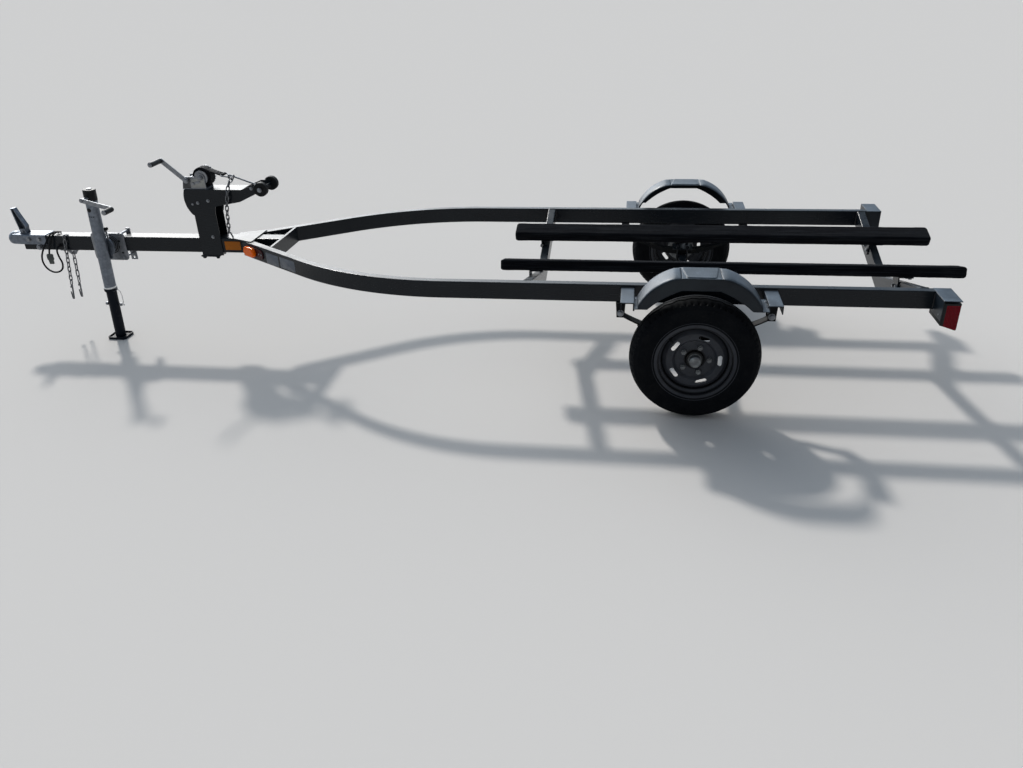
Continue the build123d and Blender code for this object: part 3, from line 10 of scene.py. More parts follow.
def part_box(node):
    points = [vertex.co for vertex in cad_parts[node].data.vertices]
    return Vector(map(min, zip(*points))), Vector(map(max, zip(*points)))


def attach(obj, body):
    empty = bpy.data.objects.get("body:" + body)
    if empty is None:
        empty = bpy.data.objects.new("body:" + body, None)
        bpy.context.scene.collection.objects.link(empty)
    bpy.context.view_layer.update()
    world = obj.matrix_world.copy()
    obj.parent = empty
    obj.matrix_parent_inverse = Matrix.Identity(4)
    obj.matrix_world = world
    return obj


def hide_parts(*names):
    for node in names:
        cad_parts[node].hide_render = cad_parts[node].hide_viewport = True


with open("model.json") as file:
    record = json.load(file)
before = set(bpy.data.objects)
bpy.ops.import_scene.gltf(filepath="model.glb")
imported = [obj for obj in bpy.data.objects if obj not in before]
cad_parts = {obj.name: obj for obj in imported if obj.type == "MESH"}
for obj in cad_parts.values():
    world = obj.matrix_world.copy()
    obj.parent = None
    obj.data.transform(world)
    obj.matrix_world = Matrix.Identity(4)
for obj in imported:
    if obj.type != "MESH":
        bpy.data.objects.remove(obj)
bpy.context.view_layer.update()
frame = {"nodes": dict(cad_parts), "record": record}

SEED = 5
rng = random.Random(SEED)
noise.seed_set(SEED)  # noise_vector() starts from the clock without it

AXLE_X = sum(corner.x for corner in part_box("tyre_left")) / 2
AXLE_Z = sum(corner.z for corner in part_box("tyre_left")) / 2
WHEEL_Y = sum(corner.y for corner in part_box("tyre_right")) / 2
LEFT = (0, -1, 0)
DOWN = (0, 0, -1)


# Forms are drawn in millimetres: x from the axle, y from the middle of the trailer, z from the ground.

def at(x, y, z):
    """A point drawn in millimetres, in metres in the row frame."""
    return Vector((AXLE_X + x / 1000, y / 1000, z / 1000))


def drawn(place):
    """The reverse: a point of the row frame, in millimetres as the forms are drawn."""
    return (Vector(place) - Vector((AXLE_X, 0, 0))) * 1000


# Camera, floor and light

CAMERA_PLACE = (0.9305, -3.819, 1.758)
CAMERA_YAW = math.radians(-8.957)
CAMERA_PITCH = math.radians(27.617)
CAMERA_ROLL = math.radians(-2.034)
CAMERA_LENS = 28.96
CAMERA_SENSOR = 36

FLOOR_HALF = 400
FLOOR_COLOR = (0.50, 0.482, 0.462)
SUN_TRAVEL = (0.70, -1.05, -1.0)
SUN_ANGLE = 4
SUN_POWER = 3.0
SUN_COLOR = (1.0, 0.97, 0.93)
SKY_PATCH = Vector((-0.55, 0.79, 0.30))
SKY_RAMP = [
    # degrees away from the bright patch, and the sky's colour there
    (0, (1.0, 1.0, 0.99, 1)),
    (14, (0.86, 0.88, 0.90, 1)),
    (24, (0.44, 0.47, 0.50, 1)),
    (36, (0.155, 0.180, 0.205, 1)),
    (52, (0.070, 0.090, 0.115, 1)),
    (100, (0.062, 0.068, 0.076, 1)),
    (180, (0.060, 0.062, 0.065, 1)),
]
SKY_POWER = 5.5


def link(name, data):
    """A new object in the scene."""
    thing = bpy.data.objects.new(name, data)
    bpy.context.scene.collection.objects.link(thing)
    return thing


def make_camera():
    """The photograph's camera: turned to the side, tipped down from level, and rolled."""
    turn = Matrix.Rotation(-CAMERA_YAW, 4, "Z") @ Matrix.Rotation(math.pi / 2 - CAMERA_PITCH, 4, "X")
    data = bpy.data.cameras.new("camera")
    data.lens = CAMERA_LENS
    data.sensor_width = CAMERA_SENSOR
    data.sensor_fit = "HORIZONTAL"
    camera = link("camera", data)
    camera.matrix_world = Matrix.Translation(CAMERA_PLACE) @ turn @ Matrix.Rotation(CAMERA_ROLL, 4, "Z")
    bpy.context.scene.camera = camera


def make_stage():
    corners = [(-FLOOR_HALF, -FLOOR_HALF, 0), (FLOOR_HALF, -FLOOR_HALF, 0), (FLOOR_HALF, FLOOR_HALF, 0),
               (-FLOOR_HALF, FLOOR_HALF, 0)]
    mesh = bpy.data.meshes.new("floor")
    mesh.from_pydata(corners, [], [(0, 1, 2, 3)])
    mesh.materials.append(Shade("floor", FLOOR_COLOR, 0.95, Specular_IOR_Level=0.0).done())
    link("floor", mesh)


def make_light():
    """A soft sun from behind the front end, and a sky with its bright patch round the same side."""
    sun = bpy.data.lights.new("sun", "SUN")
    sun.energy = SUN_POWER
    sun.angle = math.radians(SUN_ANGLE)
    sun.color = SUN_COLOR
    link("sun", sun).rotation_euler = Vector(SUN_TRAVEL).to_track_quat("-Z", "Y").to_euler()

    world = bpy.data.worlds.new("world")
    bpy.context.scene.world = world
    world.use_nodes = True
    tree = world.node_tree
    ramp = tree.nodes.new("ShaderNodeValToRGB")
    for _ in SKY_RAMP[2:]:
        ramp.color_ramp.elements.new(0.5)
    for element, (degrees, color) in zip(ramp.color_ramp.elements, SKY_RAMP):
        element.position = degrees / 180
        element.color = color
    value = tree.nodes.new("ShaderNodeTexCoord").outputs["Generated"]
    for kind, operation, number in (("ShaderNodeVectorMath", "DOT_PRODUCT", SKY_PATCH.normalized()),
                                    ("ShaderNodeMath", "ARCCOSINE", 0.0), ("ShaderNodeMath", "DIVIDE", math.pi)):
        node = tree.nodes.new(kind)
        node.operation = operation
        node.inputs[1].default_value = number
        tree.links.new(value, node.inputs[0])
        value = node.outputs["Value"]
    tree.links.new(value, ramp.inputs[0])
    tree.links.new(ramp.outputs[0], tree.nodes["Background"].inputs["Color"])
    tree.nodes["Background"].inputs["Strength"].default_value = SKY_POWER
    bpy.context.scene.view_settings.view_transform = "Standard"


# Materials

MATERIALS = {}


class Shade:
    """A material with one principled shader, and short calls that add nodes before it.

    Patterns are laid out in metres in the row frame, from the Object coordinates."""

    def __init__(self, name, color, rough, metallic=0.0, **fixed):
        self.name = name
        self.material = bpy.data.materials.new(name)
        self.material.use_nodes = True
        self.tree = self.material.node_tree
        self.shader = self.tree.nodes["Principled BSDF"]
        self.place = self.add("ShaderNodeTexCoord").outputs["Object"]
        self.bumps = None
        self.color = self.rgb(color)
        self.rough = rough
        self.shader.inputs["Metallic"].default_value = metallic
        for socket, value in fixed.items():
            self.shader.inputs[socket.replace("_", " ")].default_value = value

    def add(self, kind, settings=None, **inputs):
        node = self.tree.nodes.new(kind)
        for key, value in (settings or {}).items():
            setattr(node, key, value)
        for key, value in inputs.items():
            self.put(node.inputs[key.replace("_", " ")], value)
        return node

    def put(self, socket, value):
        if isinstance(value, bpy.types.NodeSocket):
            self.tree.links.new(value, socket)
        else:
            socket.default_value = value

    def rgb(self, color):
        return (*color, 1) if isinstance(color, tuple) else color

    def stretched(self, x, y, z):
        """The pattern's place, scaled along each axis."""
        return self.add("ShaderNodeMapping", Vector=self.place, Scale=(x, y, z)).outputs[0]

    def noise(self, scale, detail, rough=0.55, place=None, distortion=0.0):
        node = self.add("ShaderNodeTexNoise", Vector=place or self.place, Scale=scale, Detail=detail,
                        Roughness=rough, Distortion=distortion)
        return node.outputs["Fac"]

    def bands(self, scale, axis, distortion=0.0):
        node = self.add("ShaderNodeTexWave", {"bands_direction": axis}, Vector=self.place, Scale=scale,
                        Distortion=distortion)
        return node.outputs["Fac"]

    def remap(self, value, low, high, out_low=0.0, out_high=1.0):
        node = self.add("ShaderNodeMapRange", Value=value, From_Min=low, From_Max=high, To_Min=out_low,
                        To_Max=out_high)
        return node.outputs[0]

    def spots(self, scale, detail, low, high, most=1.0, rough=0.55, place=None):
        """Patches of noise: 0 below its low value, the most above its high one."""
        return self.remap(self.noise(scale, detail, rough, place), low, high, 0.0, most)

    def math(self, operation, a, b=0.0):
        node = self.add("ShaderNodeMath", {"operation": operation})
        self.put(node.inputs[0], a)
        self.put(node.inputs[1], b)
        return node.outputs[0]

    def times(self, a, b):
        return self.math("MULTIPLY", a, b)

    def up(self):
        """1 on faces that look up, 0 on upright ones and below."""
        normal = self.add("ShaderNodeNewGeometry").outputs["Normal"]
        height = self.add("ShaderNodeSeparateXYZ", Vector=normal).outputs["Z"]
        return self.remap(height, 0.35, 0.95)

    def ring(self, middle, half):
        """1 on a ring round the axle, at a distance from it, fading out to its edges."""
        split = self.add("ShaderNodeSeparateXYZ", Vector=self.place)
        across = self.math("POWER", self.math("SUBTRACT", split.outputs["X"], AXLE_X), 2)
        upward = self.math("POWER", self.math("SUBTRACT", split.outputs["Z"], AXLE_Z), 2)
        radius = self.math("SQRT", self.math("ADD", across, upward))
        off = self.math("ABSOLUTE", self.math("SUBTRACT", radius, middle))
        return self.remap(off, half * 0.6, half * 1.2, 1.0, 0.0)

    def tint(self, color, amount):
        """Lays another colour over what is there, by an amount or a pattern."""
        node = self.add("ShaderNodeMix", {"data_type": "RGBA"})
        self.put(node.inputs[0], amount)
        self.put(node.inputs[6], self.color)
        self.put(node.inputs[7], self.rgb(color))
        self.color = node.outputs[2]

    def patches(self, color, *spots):
        """Another colour in spots."""
        self.tint(color, self.spots(*spots))

    def roughen(self, rough, amount):
        node = self.add("ShaderNodeMix", {"data_type": "FLOAT"})
        self.put(node.inputs[0], amount)
        self.put(node.inputs[2], self.rough)
        self.put(node.inputs[3], rough)
        self.rough = node.outputs[0]

    def dull(self, rough, *spots):
        """Another roughness in spots."""
        self.roughen(rough, self.spots(*spots))

    def bump(self, height, distance, strength):
        """Relief of a pattern, over the relief that is there already."""
        node = self.add("ShaderNodeBump", Height=height, Distance=distance, Strength=strength)
        if self.bumps is not None:
            self.put(node.inputs["Normal"], self.bumps)
        self.bumps = node.outputs[0]

    def grain(self, scale, detail, distance, strength):
        """Relief of noise."""
        self.bump(self.noise(scale, detail), distance, strength)

    def soften(self, radius):
        """Sharp edges catch light as if they were rounded by a radius."""
        self.bumps = self.add("ShaderNodeBevel", Radius=radius).outputs[0]

    def done(self):
        self.put(self.shader.inputs["Base Color"], self.color)
        self.put(self.shader.inputs["Roughness"], self.rough)
        if self.bumps is not None:
            self.put(self.shader.inputs["Normal"], self.bumps)
        MATERIALS[self.name] = self.material
        return self.material


def frame_paint():
    """Black enamel with thin dust on top, fine scratches and a little orange peel."""
    s = Shade("frame_paint", (0.0030, 0.0050, 0.0080), 0.25, Specular_IOR_Level=0.22)
    s.soften(0.003)
    s.patches((0.006, 0.009, 0.012), 6, 5, 0.35, 0.7)
    upward_spots = s.times(s.up(), s.spots(14, 6, 0.38, 0.75, 1.0, 0.65))
    s.tint((0.060, 0.066, 0.070), s.times(upward_spots, 0.45))
    s.roughen(0.42, upward_spots)
    chips = s.times(s.spots(210, 2, 0.70, 0.74, 1.0, 0.5), s.spots(9, 3, 0.52, 0.66))
    s.tint((0.15, 0.15, 0.145), s.times(chips, 0.5))
    s.dull(0.40, 30, 3, 0.62, 0.72, 0.7, 0.5, s.stretched(0.6, 14, 14))
    s.grain(420, 2, 0.00012, 0.35)
    s.grain(18, 3, 0.0008, 0.25)
    s.done()


def fender_paint():
    """Black enamel on thin sheet: pale dust and a painted sky sheen on what faces up, rubbed streaks, soft folds."""
    s = Shade("fender_paint", (0.003, 0.006, 0.010), 0.30, Specular_IOR_Level=0.20)
    s.soften(0.006)
    s.patches((0.012, 0.017, 0.022), 7, 5, 0.35, 0.7)
    lying = s.math("MINIMUM", s.times(s.up(), 1.6), 1.0)
    upward_spots = s.times(lying, s.spots(12, 6, 0.20, 0.78, 1.0, 0.6))
    # The bluish tint on what faces up is partly dust and partly a painted sky sheen that makes tops and slopes
    # lighter.
    s.tint((0.130, 0.165, 0.205), s.times(upward_spots, 0.72))
    s.tint((0.22, 0.24, 0.26), s.times(s.spots(240, 3, 0.60, 0.72, 0.7, 0.6), upward_spots))
    s.roughen(0.50, upward_spots)
    s.dull(0.30, 26, 4, 0.52, 0.7, 0.7, 0.55, s.stretched(5, 0.8, 5))
    s.grain(420, 2, 0.0001, 0.3)
    s.grain(12, 3, 0.0012, 0.3)
    s.done()


def wheel_paint():
    """Silver-grey wheel enamel with painted shade in its grooves, and brake-dust freckles."""
    s = Shade("wheel_paint", (0.026, 0.029, 0.036), 0.34, Specular_IOR_Level=0.2)
    s.patches((0.038, 0.041, 0.048), 9, 4, 0.4, 0.7)
    s.patches((0.018, 0.016, 0.015), 38, 6, 0.5, 0.72, 0.5, 0.7)
    s.patches((0.06, 0.042, 0.03), 240, 2, 0.66, 0.72, 0.6)
    # Painted shade: dark rings at the bead grooves and round the hub's bore.
    for middle, half in ((0.1495, 0.0038), (0.1345, 0.0045), (0.0405, 0.004)):
        s.tint((0.006, 0.007, 0.009), s.ring(middle, half))
    s.dull(0.6, 22, 5, 0.4, 0.7)
    s.grain(520, 2, 0.0001, 0.4)
    s.done()


def hub_paint():
    """The hub: a grey dust cap with painted shade in the bore round it, and painted nuts further out."""
    s = Shade("hub_paint", (0.13, 0.135, 0.14), 0.36, 0.6)
    s.patches((0.26, 0.28, 0.28), 55, 4, 0.42, 0.7)
    # Painted shade: a near-black ring in the bore round the dust cap.
    s.tint((0.006, 0.007, 0.008), s.ring(0.035, 0.0105))
    s.patches((0.05, 0.04, 0.033), 110, 5, 0.52, 0.75, 0.7, 0.7)
    s.dull(0.62, 30, 4, 0.4, 0.7)
    s.grain(340, 3, 0.0002, 0.4)
    s.done()


def zinc(name, color):
    """Weathered zinc plate: grey metal with cloudy patches, small spangles and dull spots."""
    s = Shade(name, color, 0.36, 0.85)
    spangles = s.add("ShaderNodeTexVoronoi", Vector=s.place, Scale=90).outputs["Color"]
    s.tint(tuple(1.6 * part for part in color), s.remap(spangles, 0.2, 0.9, 0.0, 0.45))
    s.patches(tuple(0.5 * part for part in color), 34, 6, 0.48, 0.75, 0.65, 0.7)
    s.patches((0.12, 0.075, 0.045), 75, 5, 0.66, 0.8, 0.5, 0.7)
    s.dull(0.58, 26, 5, 0.42, 0.7, 1.0, 0.6)
    s.grain(300, 3, 0.0002, 0.35)
    s.done()


def chain_steel():
    """Dull, darker zinc for the chains and hooks, with rust where links rub."""
    s = Shade("chain_steel", (0.13, 0.135, 0.145), 0.42, 0.8)
    s.patches((0.22, 0.225, 0.235), 150, 4, 0.45, 0.7)
    s.patches((0.045, 0.040, 0.036), 90, 5, 0.5, 0.72, 0.7, 0.7)
    s.dull(0.66, 60, 4, 0.42, 0.7)
    s.grain(420, 3, 0.0002, 0.5)
    s.done()


def leg_paint():
    """Blue-black paint on the jack's leg, rubbed grey in upright streaks."""
    s = Shade("leg_paint", (0.003, 0.005, 0.010), 0.36, Specular_IOR_Level=0.10)
    s.patches((0.009, 0.011, 0.016), 40, 5, 0.52, 0.75, 1.0, 0.7, s.stretched(3, 3, 0.6))
    s.patches((0.05, 0.043, 0.036), 60, 5, 0.64, 0.76, 0.5)
    s.dull(0.65, 24, 4, 0.4, 0.7)
    s.grain(380, 2, 0.00015, 0.4)
    s.done()


def tyre_rubber():
    """Black rubber, greyed by dust in patches."""
    s = Shade("tyre_rubber", (0.0025, 0.0032, 0.0045), 0.62, Specular_IOR_Level=0.10, IOR=1.35)
    s.patches((0.0065, 0.007, 0.008), 26, 6, 0.42, 0.78, 1.0, 0.7)
    s.patches((0.030, 0.028, 0.026), 90, 5, 0.58, 0.8, 0.30, 0.7)
    s.dull(0.82, 14, 4, 0.4, 0.7)
    s.grain(700, 2, 0.0002, 0.5)
    s.grain(60, 3, 0.0005, 0.3)
    s.done()


def carpet():
    """Marine carpet: short matted fibres in faint lengthwise streaks, lint and pale dust."""
    s = Shade("carpet", (0.0030, 0.0035, 0.0048), 0.95, Sheen_Weight=0.02, Sheen_Roughness=0.4,
              Specular_IOR_Level=0.08, IOR=1.2)
    s.patches((0.006, 0.0065, 0.0085), 520, 3, 0.35, 0.7, 1.0, 0.7)
    s.patches((0.017, 0.019, 0.022), 150, 3, 0.48, 0.62, 0.6, 0.6, s.stretched(0.03, 1, 1))
    s.patches((0.018, 0.018, 0.018), 11, 6, 0.45, 0.8, 0.3, 0.7)
    s.patches((0.12, 0.115, 0.105), 900, 2, 0.72, 0.8, 0.45)
    s.bump(s.noise(700, 3, 0.7, s.stretched(1.0, 0.45, 0.45), 1.5), 0.0016, 0.9)
    s.grain(120, 4, 0.0012, 0.5)
    s.done()


def webbing():
    """Woven polyester: ribs across the strap and a twill between them."""
    s = Shade("webbing", (0.005, 0.006, 0.008), 0.75, Specular_IOR_Level=0.15)
    ribs = s.bands(330, "Y", 0.3)
    weave = s.bands(240, "X", 0.2)
    s.tint((0.016, 0.017, 0.020), s.times(ribs, weave))
    s.patches((0.045, 0.045, 0.045), 60, 5, 0.55, 0.8, 0.5, 0.7)
    s.bump(s.math("ADD", ribs, weave), 0.0005, 0.8)
    s.done()


def weld():
    """A painted weld: small overlapping ripples with soot and a little rust."""
    s = Shade("weld", (0.008, 0.009, 0.010), 0.36)
    s.patches((0.05, 0.035, 0.022), 60, 5, 0.55, 0.75, 0.5)
    s.dull(0.6, 70, 3, 0.45, 0.7)
    s.grain(260, 3, 0.0005, 0.7)
    s.done()


def blank_label():
    """A blank sticker: faded grey film, scuffed and dusty."""
    s = Shade("blank_label", (0.078, 0.089, 0.108), 0.48)
    s.patches((0.120, 0.130, 0.146), 30, 5, 0.42, 0.72, 1.0, 0.7)
    s.patches((0.018, 0.020, 0.024), 120, 5, 0.60, 0.78, 0.8, 0.7)
    s.dull(0.7, 45, 4, 0.45, 0.7)
    s.grain(160, 3, 0.0001, 0.5)
    s.done()


def lens(name, color, deep):
    """Moulded lens: clear gloss over a grid of small prisms."""
    s = Shade(name, color, 0.12, Specular_IOR_Level=0.12)
    grid = s.times(s.bands(55, "X"), s.bands(55, "Z"))
    s.tint(deep, s.remap(grid, 0.15, 0.7, 0.75, 0.0))
    s.bump(grid, 0.0008, 0.6)
    s.done()


def plain(name, color, rough, speck, relief=260, **fixed):
    """Moulded plastic, rubber or film: a little cloudiness, dust specks and fine grain."""
    s = Shade(name, color, rough, **fixed)
    s.patches(speck, 45, 5, 0.45, 0.78, 0.7, 0.65)
    s.dull(min(rough + 0.2, 0.95), 24, 4, 0.4, 0.7)
    s.grain(relief * 2, 2, 0.0002, 0.5)
    s.done()


for paint in (frame_paint, fender_paint, wheel_paint, hub_paint, chain_steel, leg_paint, tyre_rubber, carpet,
              webbing, weld, blank_label):
    paint()
zinc("zinc", (0.20, 0.21, 0.225))
zinc("blue_zinc", (0.135, 0.152, 0.178))
lens("red_lens", (0.22, 0.001, 0.010), (0.07, 0.001, 0.004))
lens("amber_lens", (1.0, 0.20, 0.003), (0.60, 0.055, 0.002))
lens("dark_red", (0.050, 0.003, 0.004), (0.020, 0.001, 0.002))
lens("reflector", (0.46, 0.15, 0.012), (0.22, 0.06, 0.006))
plain("black_plastic", (0.005, 0.006, 0.007), 0.40, (0.022, 0.022, 0.023), Specular_IOR_Level=0.2)
plain("black_rubber", (0.004, 0.005, 0.006), 0.55, (0.022, 0.021, 0.020), Specular_IOR_Level=0.15)
plain("spring_black", (0.005, 0.006, 0.007), 0.6, (0.022, 0.019, 0.016), Specular_IOR_Level=0.10)
plain("worn_plate", (0.050, 0.052, 0.055), 0.45, (0.13, 0.13, 0.13), 200, Metallic=0.5)
plain("silver_label", (0.30, 0.30, 0.28), 0.40, (0.16, 0.16, 0.15), 120)
plain("pale_plastic", (0.80, 0.80, 0.78), 0.5, (0.45, 0.44, 0.42))
plain("plug_grey", (0.052, 0.060, 0.056), 0.5, (0.10, 0.11, 0.10))
plain("thread", (0.16, 0.16, 0.165), 0.8, (0.3, 0.3, 0.3))

# CAD nodes with another finish than their slot's, left and right ones alike
OWN_FINISH = {
    "hub": "hub_paint",
    "fender": "fender_paint",
    "fender_arms": "fender_paint",
    "light_guard": "fender_paint",
    "leaf_spring": "spring_black",
    "spring_hangers": "spring_black",
    "coupler_body": "blue_zinc",
    "coupler_latch": "blue_zinc",
    "jack_tube": "blue_zinc",
    "front_reflector": "reflector",
}


def paint_cad_nodes():
    for entry in frame["record"]["subparts"]:
        kind = entry["node"].removesuffix("_left").removesuffix("_right")
        materials = frame["nodes"][entry["node"]].data.materials
        materials.clear()
        materials.append(MATERIALS[OWN_FINISH.get(kind, entry["material_slot"])])


# Building forms

def facing(place, direction):
    """A matrix that takes the origin to a place and Z to a direction."""
    return Matrix.Translation(place) @ Vector(direction).to_track_quat("Z", "Y").to_matrix().to_4x4()


def spoke(angle, radius, y=0.0):
    """A step from a wheel's middle out to a radius, and sideways."""
    return Vector((radius * math.cos(angle), y, radius * math.sin(angle)))


def rounded(points, radius, steps=6):
    """A bent wire's line: straight runs with an arc at each corner."""
    points = [Vector(point) for point in points]
    line = [points[0]]
    for before, corner, after in zip(points, points[1:], points[2:]):
        into = (before - corner).normalized()
        out = (after - corner).normalized()
        half = into.angle(out) / 2
        cut = min(radius / math.tan(half), (before - corner).length * 0.49, (after - corner).length * 0.49)
        start, end = corner + into * cut, corner + out * cut
        middle = corner + (into + out).normalized() * cut / math.cos(half)
        line += [middle + (start - middle).slerp(end - middle, step / steps) for step in range(steps + 1)]
    return line + [points[-1]]


def rounded_sheet(left, right, low, high, radius, steps):
    """A rectangle's outline with round corners, as (u, v) points."""
    outline = []
    for start, u, v in ((0, right - radius, high - radius), (90, left + radius, high - radius),
                        (180, left + radius, low + radius), (270, right - radius, low + radius)):
        for step in range(steps + 1):
            angle = math.radians(start + 90 * step / steps)
            outline.append((u + radius * math.cos(angle), v + radius * math.sin(angle)))
    return outline


class Shape:
    """Vertices and faces gathered from simple forms, in millimetres, to make one piece."""

    def __init__(self):
        self.verts = []
        self.faces = []

    def take(self, form, shift=(0, 0, 0)):
        """Adds a bmesh form, moved by a step."""
        form.verts.index_update()
        start = len(self.verts)
        self.verts += [vert.co + Vector(shift) for vert in form.verts]
        self.faces += [tuple(start + vert.index for vert in face.verts) for face in form.faces]
        form.free()

    def rings(self, rings, closed=False):
        """A skin over rings of equally many points, capped at both ends or closed to a loop."""
        count = len(rings[0])
        start = len(self.verts)
        for ring in rings:
            self.verts += [Vector(vert) for vert in ring]
        for row in range(len(rings) if closed else len(rings) - 1):
            low = start + row * count
            high = start + (row + 1) % len(rings) * count
            for index in range(count):
                after = (index + 1) % count
                self.faces.append((low + index, low + after, high + after, high + index))
        if not closed:
            last = len(self.verts) - count
            self.faces.append(tuple(start + index for index in reversed(range(count))))
            self.faces.append(tuple(last + index for index in range(count)))

    def lathe(self, profile, place, direction, sides=24, turn=0.0):
        """A turned form, from radii and heights along a direction."""
        matrix = facing(place, direction)
        angles = [turn + math.tau * index / sides for index in range(sides)]
        self.rings([[matrix @ Vector((radius * math.cos(a), radius * math.sin(a), height)) for a in angles]
                    for radius, height in profile])

    def tube(self, line, radius, sides=10, closed=False):
        """Round wire along a line of points; the radius may be one for each point."""
        line = [Vector(point) for point in line]
        count = len(line)
        radii = radius if isinstance(radius, list) else [radius] * count
        across = None
        rings = []
        for index, point in enumerate(line):
            if closed:
                step = line[(index + 1) % count] - line[index - 1]
            else:
                step = line[min(index + 1, count - 1)] - line[max(index - 1, 0)]
            step.normalize()
            if across is None:
                across = step.orthogonal().normalized()
            across = (across - step * across.dot(step)).normalized()
            other = step.cross(across)
            rings.append([point + (across * math.cos(math.tau * k / sides) + other * math.sin(math.tau * k / sides))
                          * radii[index] for k in range(sides)])
        self.rings(rings, closed)

    def box(self, low, high, bevel):
        """A block with its edges broken."""
        low, high = Vector(low), Vector(high)
        form = bmesh.new()
        size = Matrix.Diagonal((*(high - low), 1))
        bmesh.ops.create_cube(form, size=1, matrix=Matrix.Translation((low + high) / 2) @ size)
        bmesh.ops.bevel(form, geom=form.edges[:] + form.verts[:], offset=bevel, segments=2, affect="EDGES",
                        profile=0.5)
        self.take(form)

    def plate(self, outline, thick, bevel, origin):
        """A sheet cut to an outline of (x, z) points from an origin, which it stands out from to the left."""
        form = bmesh.new()
        front, back = ([form.verts.new((x, y, z)) for x, z in outline] for y in (-thick, 0))
        form.faces.new(front)
        form.faces.new(back)
        for corners in zip(front, front[1:] + front[:1], back[1:] + back[:1], back):
            form.faces.new(corners)
        bmesh.ops.recalc_face_normals(form, faces=form.faces)
        bmesh.ops.bevel(form, geom=form.edges[:], offset=bevel, segments=2, affect="EDGES", profile=0.5)
        self.take(form, origin)

    def bolt(self, place, direction, across, height, washer=True):
        """A hexagon head on its washer, standing on a face."""
        base = 0.0
        if washer:
            base = 1.2
            self.lathe([(across * 0.72, 0), (across * 0.72, base), (across * 0.5, 1.4)], place, direction, 20)
        r = across / math.sqrt(3)
        self.lathe([(r * 0.96, base), (r, base + 0.6), (r, base + height * 0.82), (r * 0.84, base + height),
                    (r * 0.3, base + height)], place, direction, 6, rng.uniform(0, 1))

    def made(self, name, slot, body="frame", finish=None, crease=35):
        """The gathered form as a piece, in its slot's material unless it has another finish."""
        mesh = bpy.data.meshes.new(name)
        mesh.from_pydata([tuple(at(*vert)) for vert in self.verts], [], self.faces)
        form = bmesh.new()
        form.from_mesh(mesh)
        bmesh.ops.recalc_face_normals(form, faces=form.faces)
        form.to_mesh(mesh)
        form.free()
        mesh.materials.append(MATERIALS[finish or slot])
        mesh.shade_smooth()
        mesh.set_sharp_from_angle(angle=math.radians(crease))
        piece = link(name, mesh)
        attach(piece, body)
        return piece


def turned(rows, name, slot, body="frame", finish=None):
    """A piece of turned forms; each row is a form's profile, place, direction and number of sides."""
    shape = Shape()
    for row in rows:
        shape.lathe(*row)
    shape.made(name, slot, body, finish)


# Cables

CABLE_R = 0.0045
CABLE_ROUTE = [
    (-3232, -38.4, 478), (-3232, -65, 478), (-3228, -85, 460), (-3220, -91, 432), (-3210, -90, 400),
    (-3218, -88, 368), (-3244, -87, 348), (-3278, -87, 344), (-3310, -85, 360), (-3330, -81, 390),
    (-3332, -76, 424), (-3320, -68, 458), (-3300, -60, 490), (-3284, -53, 518), (-3274, -34, 537),
    (-3268, -8, 541), (-3265, 17, 531.8),
]
LEAD_ROUTE = [
    (-3250, 16, 531.8), (-3252, -8, 541), (-3258, -34, 537), (-3266, -52, 518), (-3276, -57, 490),
    (-3288, -60, 462), (-3294, -61, 438),
]


def cable(name, route):
    data = bpy.data.curves.new(name, "CURVE")
    data.dimensions = "3D"
    data.resolution_u = 10
    data.bevel_depth = CABLE_R
    data.bevel_resolution = 5
    data.use_fill_caps = True
    spline = data.splines.new("NURBS")
    spline.points.add(len(route) - 1)
    for point, place in zip(spline.points, route):
        point.co = (*at(*place), 1)
    spline.order_u = 3
    spline.use_endpoint_u = True
    data.materials.append(MATERIALS["black_rubber"])
    curve = link(name, data)
    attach(curve, "frame")
    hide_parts("harness_cable")
    return curve


def harness_plug():
    """The flat four-way plug on the lead: body, grip ribs, and the sockets' row."""
    x, y, z = LEAD_ROUTE[-1]
    top = z - 1.6
    shape = Shape()
    shape.box((x - 15, y - 6.5, top - 34), (x + 15, y + 6.5, top), 3)
    shape.box((x - 12, y - 4.5, top - 54), (x + 12, y + 4.5, top - 33), 1.5)
    for rib in range(5):
        low = top - 6 - rib * 5
        shape.box((x - 16, y - 7.6, low - 2.2), (x + 16, y + 7.6, low), 0.6)
    for pin in (-7.5, -2.5, 2.5, 7.5):
        shape.lathe([(2.1, 0), (2.1, 1), (1.2, 1.2)], (x + pin, y, top - 53.6), DOWN, 12)
    piece = shape.made("harness_plug_body", "black_plastic", finish="plug_grey")
    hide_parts("harness_plug")
    return piece


def harness():
    loop = cable("harness_loop", CABLE_ROUTE)
    lead = cable("harness_lead", LEAD_ROUTE)
    harness_plug()


def grommet():
    """The rubber ring where the harness leaves the tongue."""
    profile = [(5.2, 0), (10.5, 0.2), (11.2, 1.6), (9.8, 3.2), (7.2, 4.0), (6.2, 10.0), (5.0, 10.4)]
    turned([(profile, (-3232, -TONGUE_SIDE, 478), LEFT, 28)], "harness_grommet", "black_rubber")


# Tyres and wheels

TYRE_R = 266.5
TREAD_STEPS = 240
CROWN_DROP = 0.00687
SIDEWALL = [(153, 50), (158, 54), (165, 56), (172, 57.4), (180, 58.8), (184, 60.4), (188, 60.2), (192, 60.3),
            (200, 61.0), (208, 61.1), (216, 60.8), (222, 60.0), (228, 59.4), (231, 59.6), (234, 57.9),
            (238, 56.0), (243, 54.0), (247, 51.6)]


def wheel_middle(sign):
    return Vector((0, sign * WHEEL_Y * 1000, AXLE_Z * 1000))


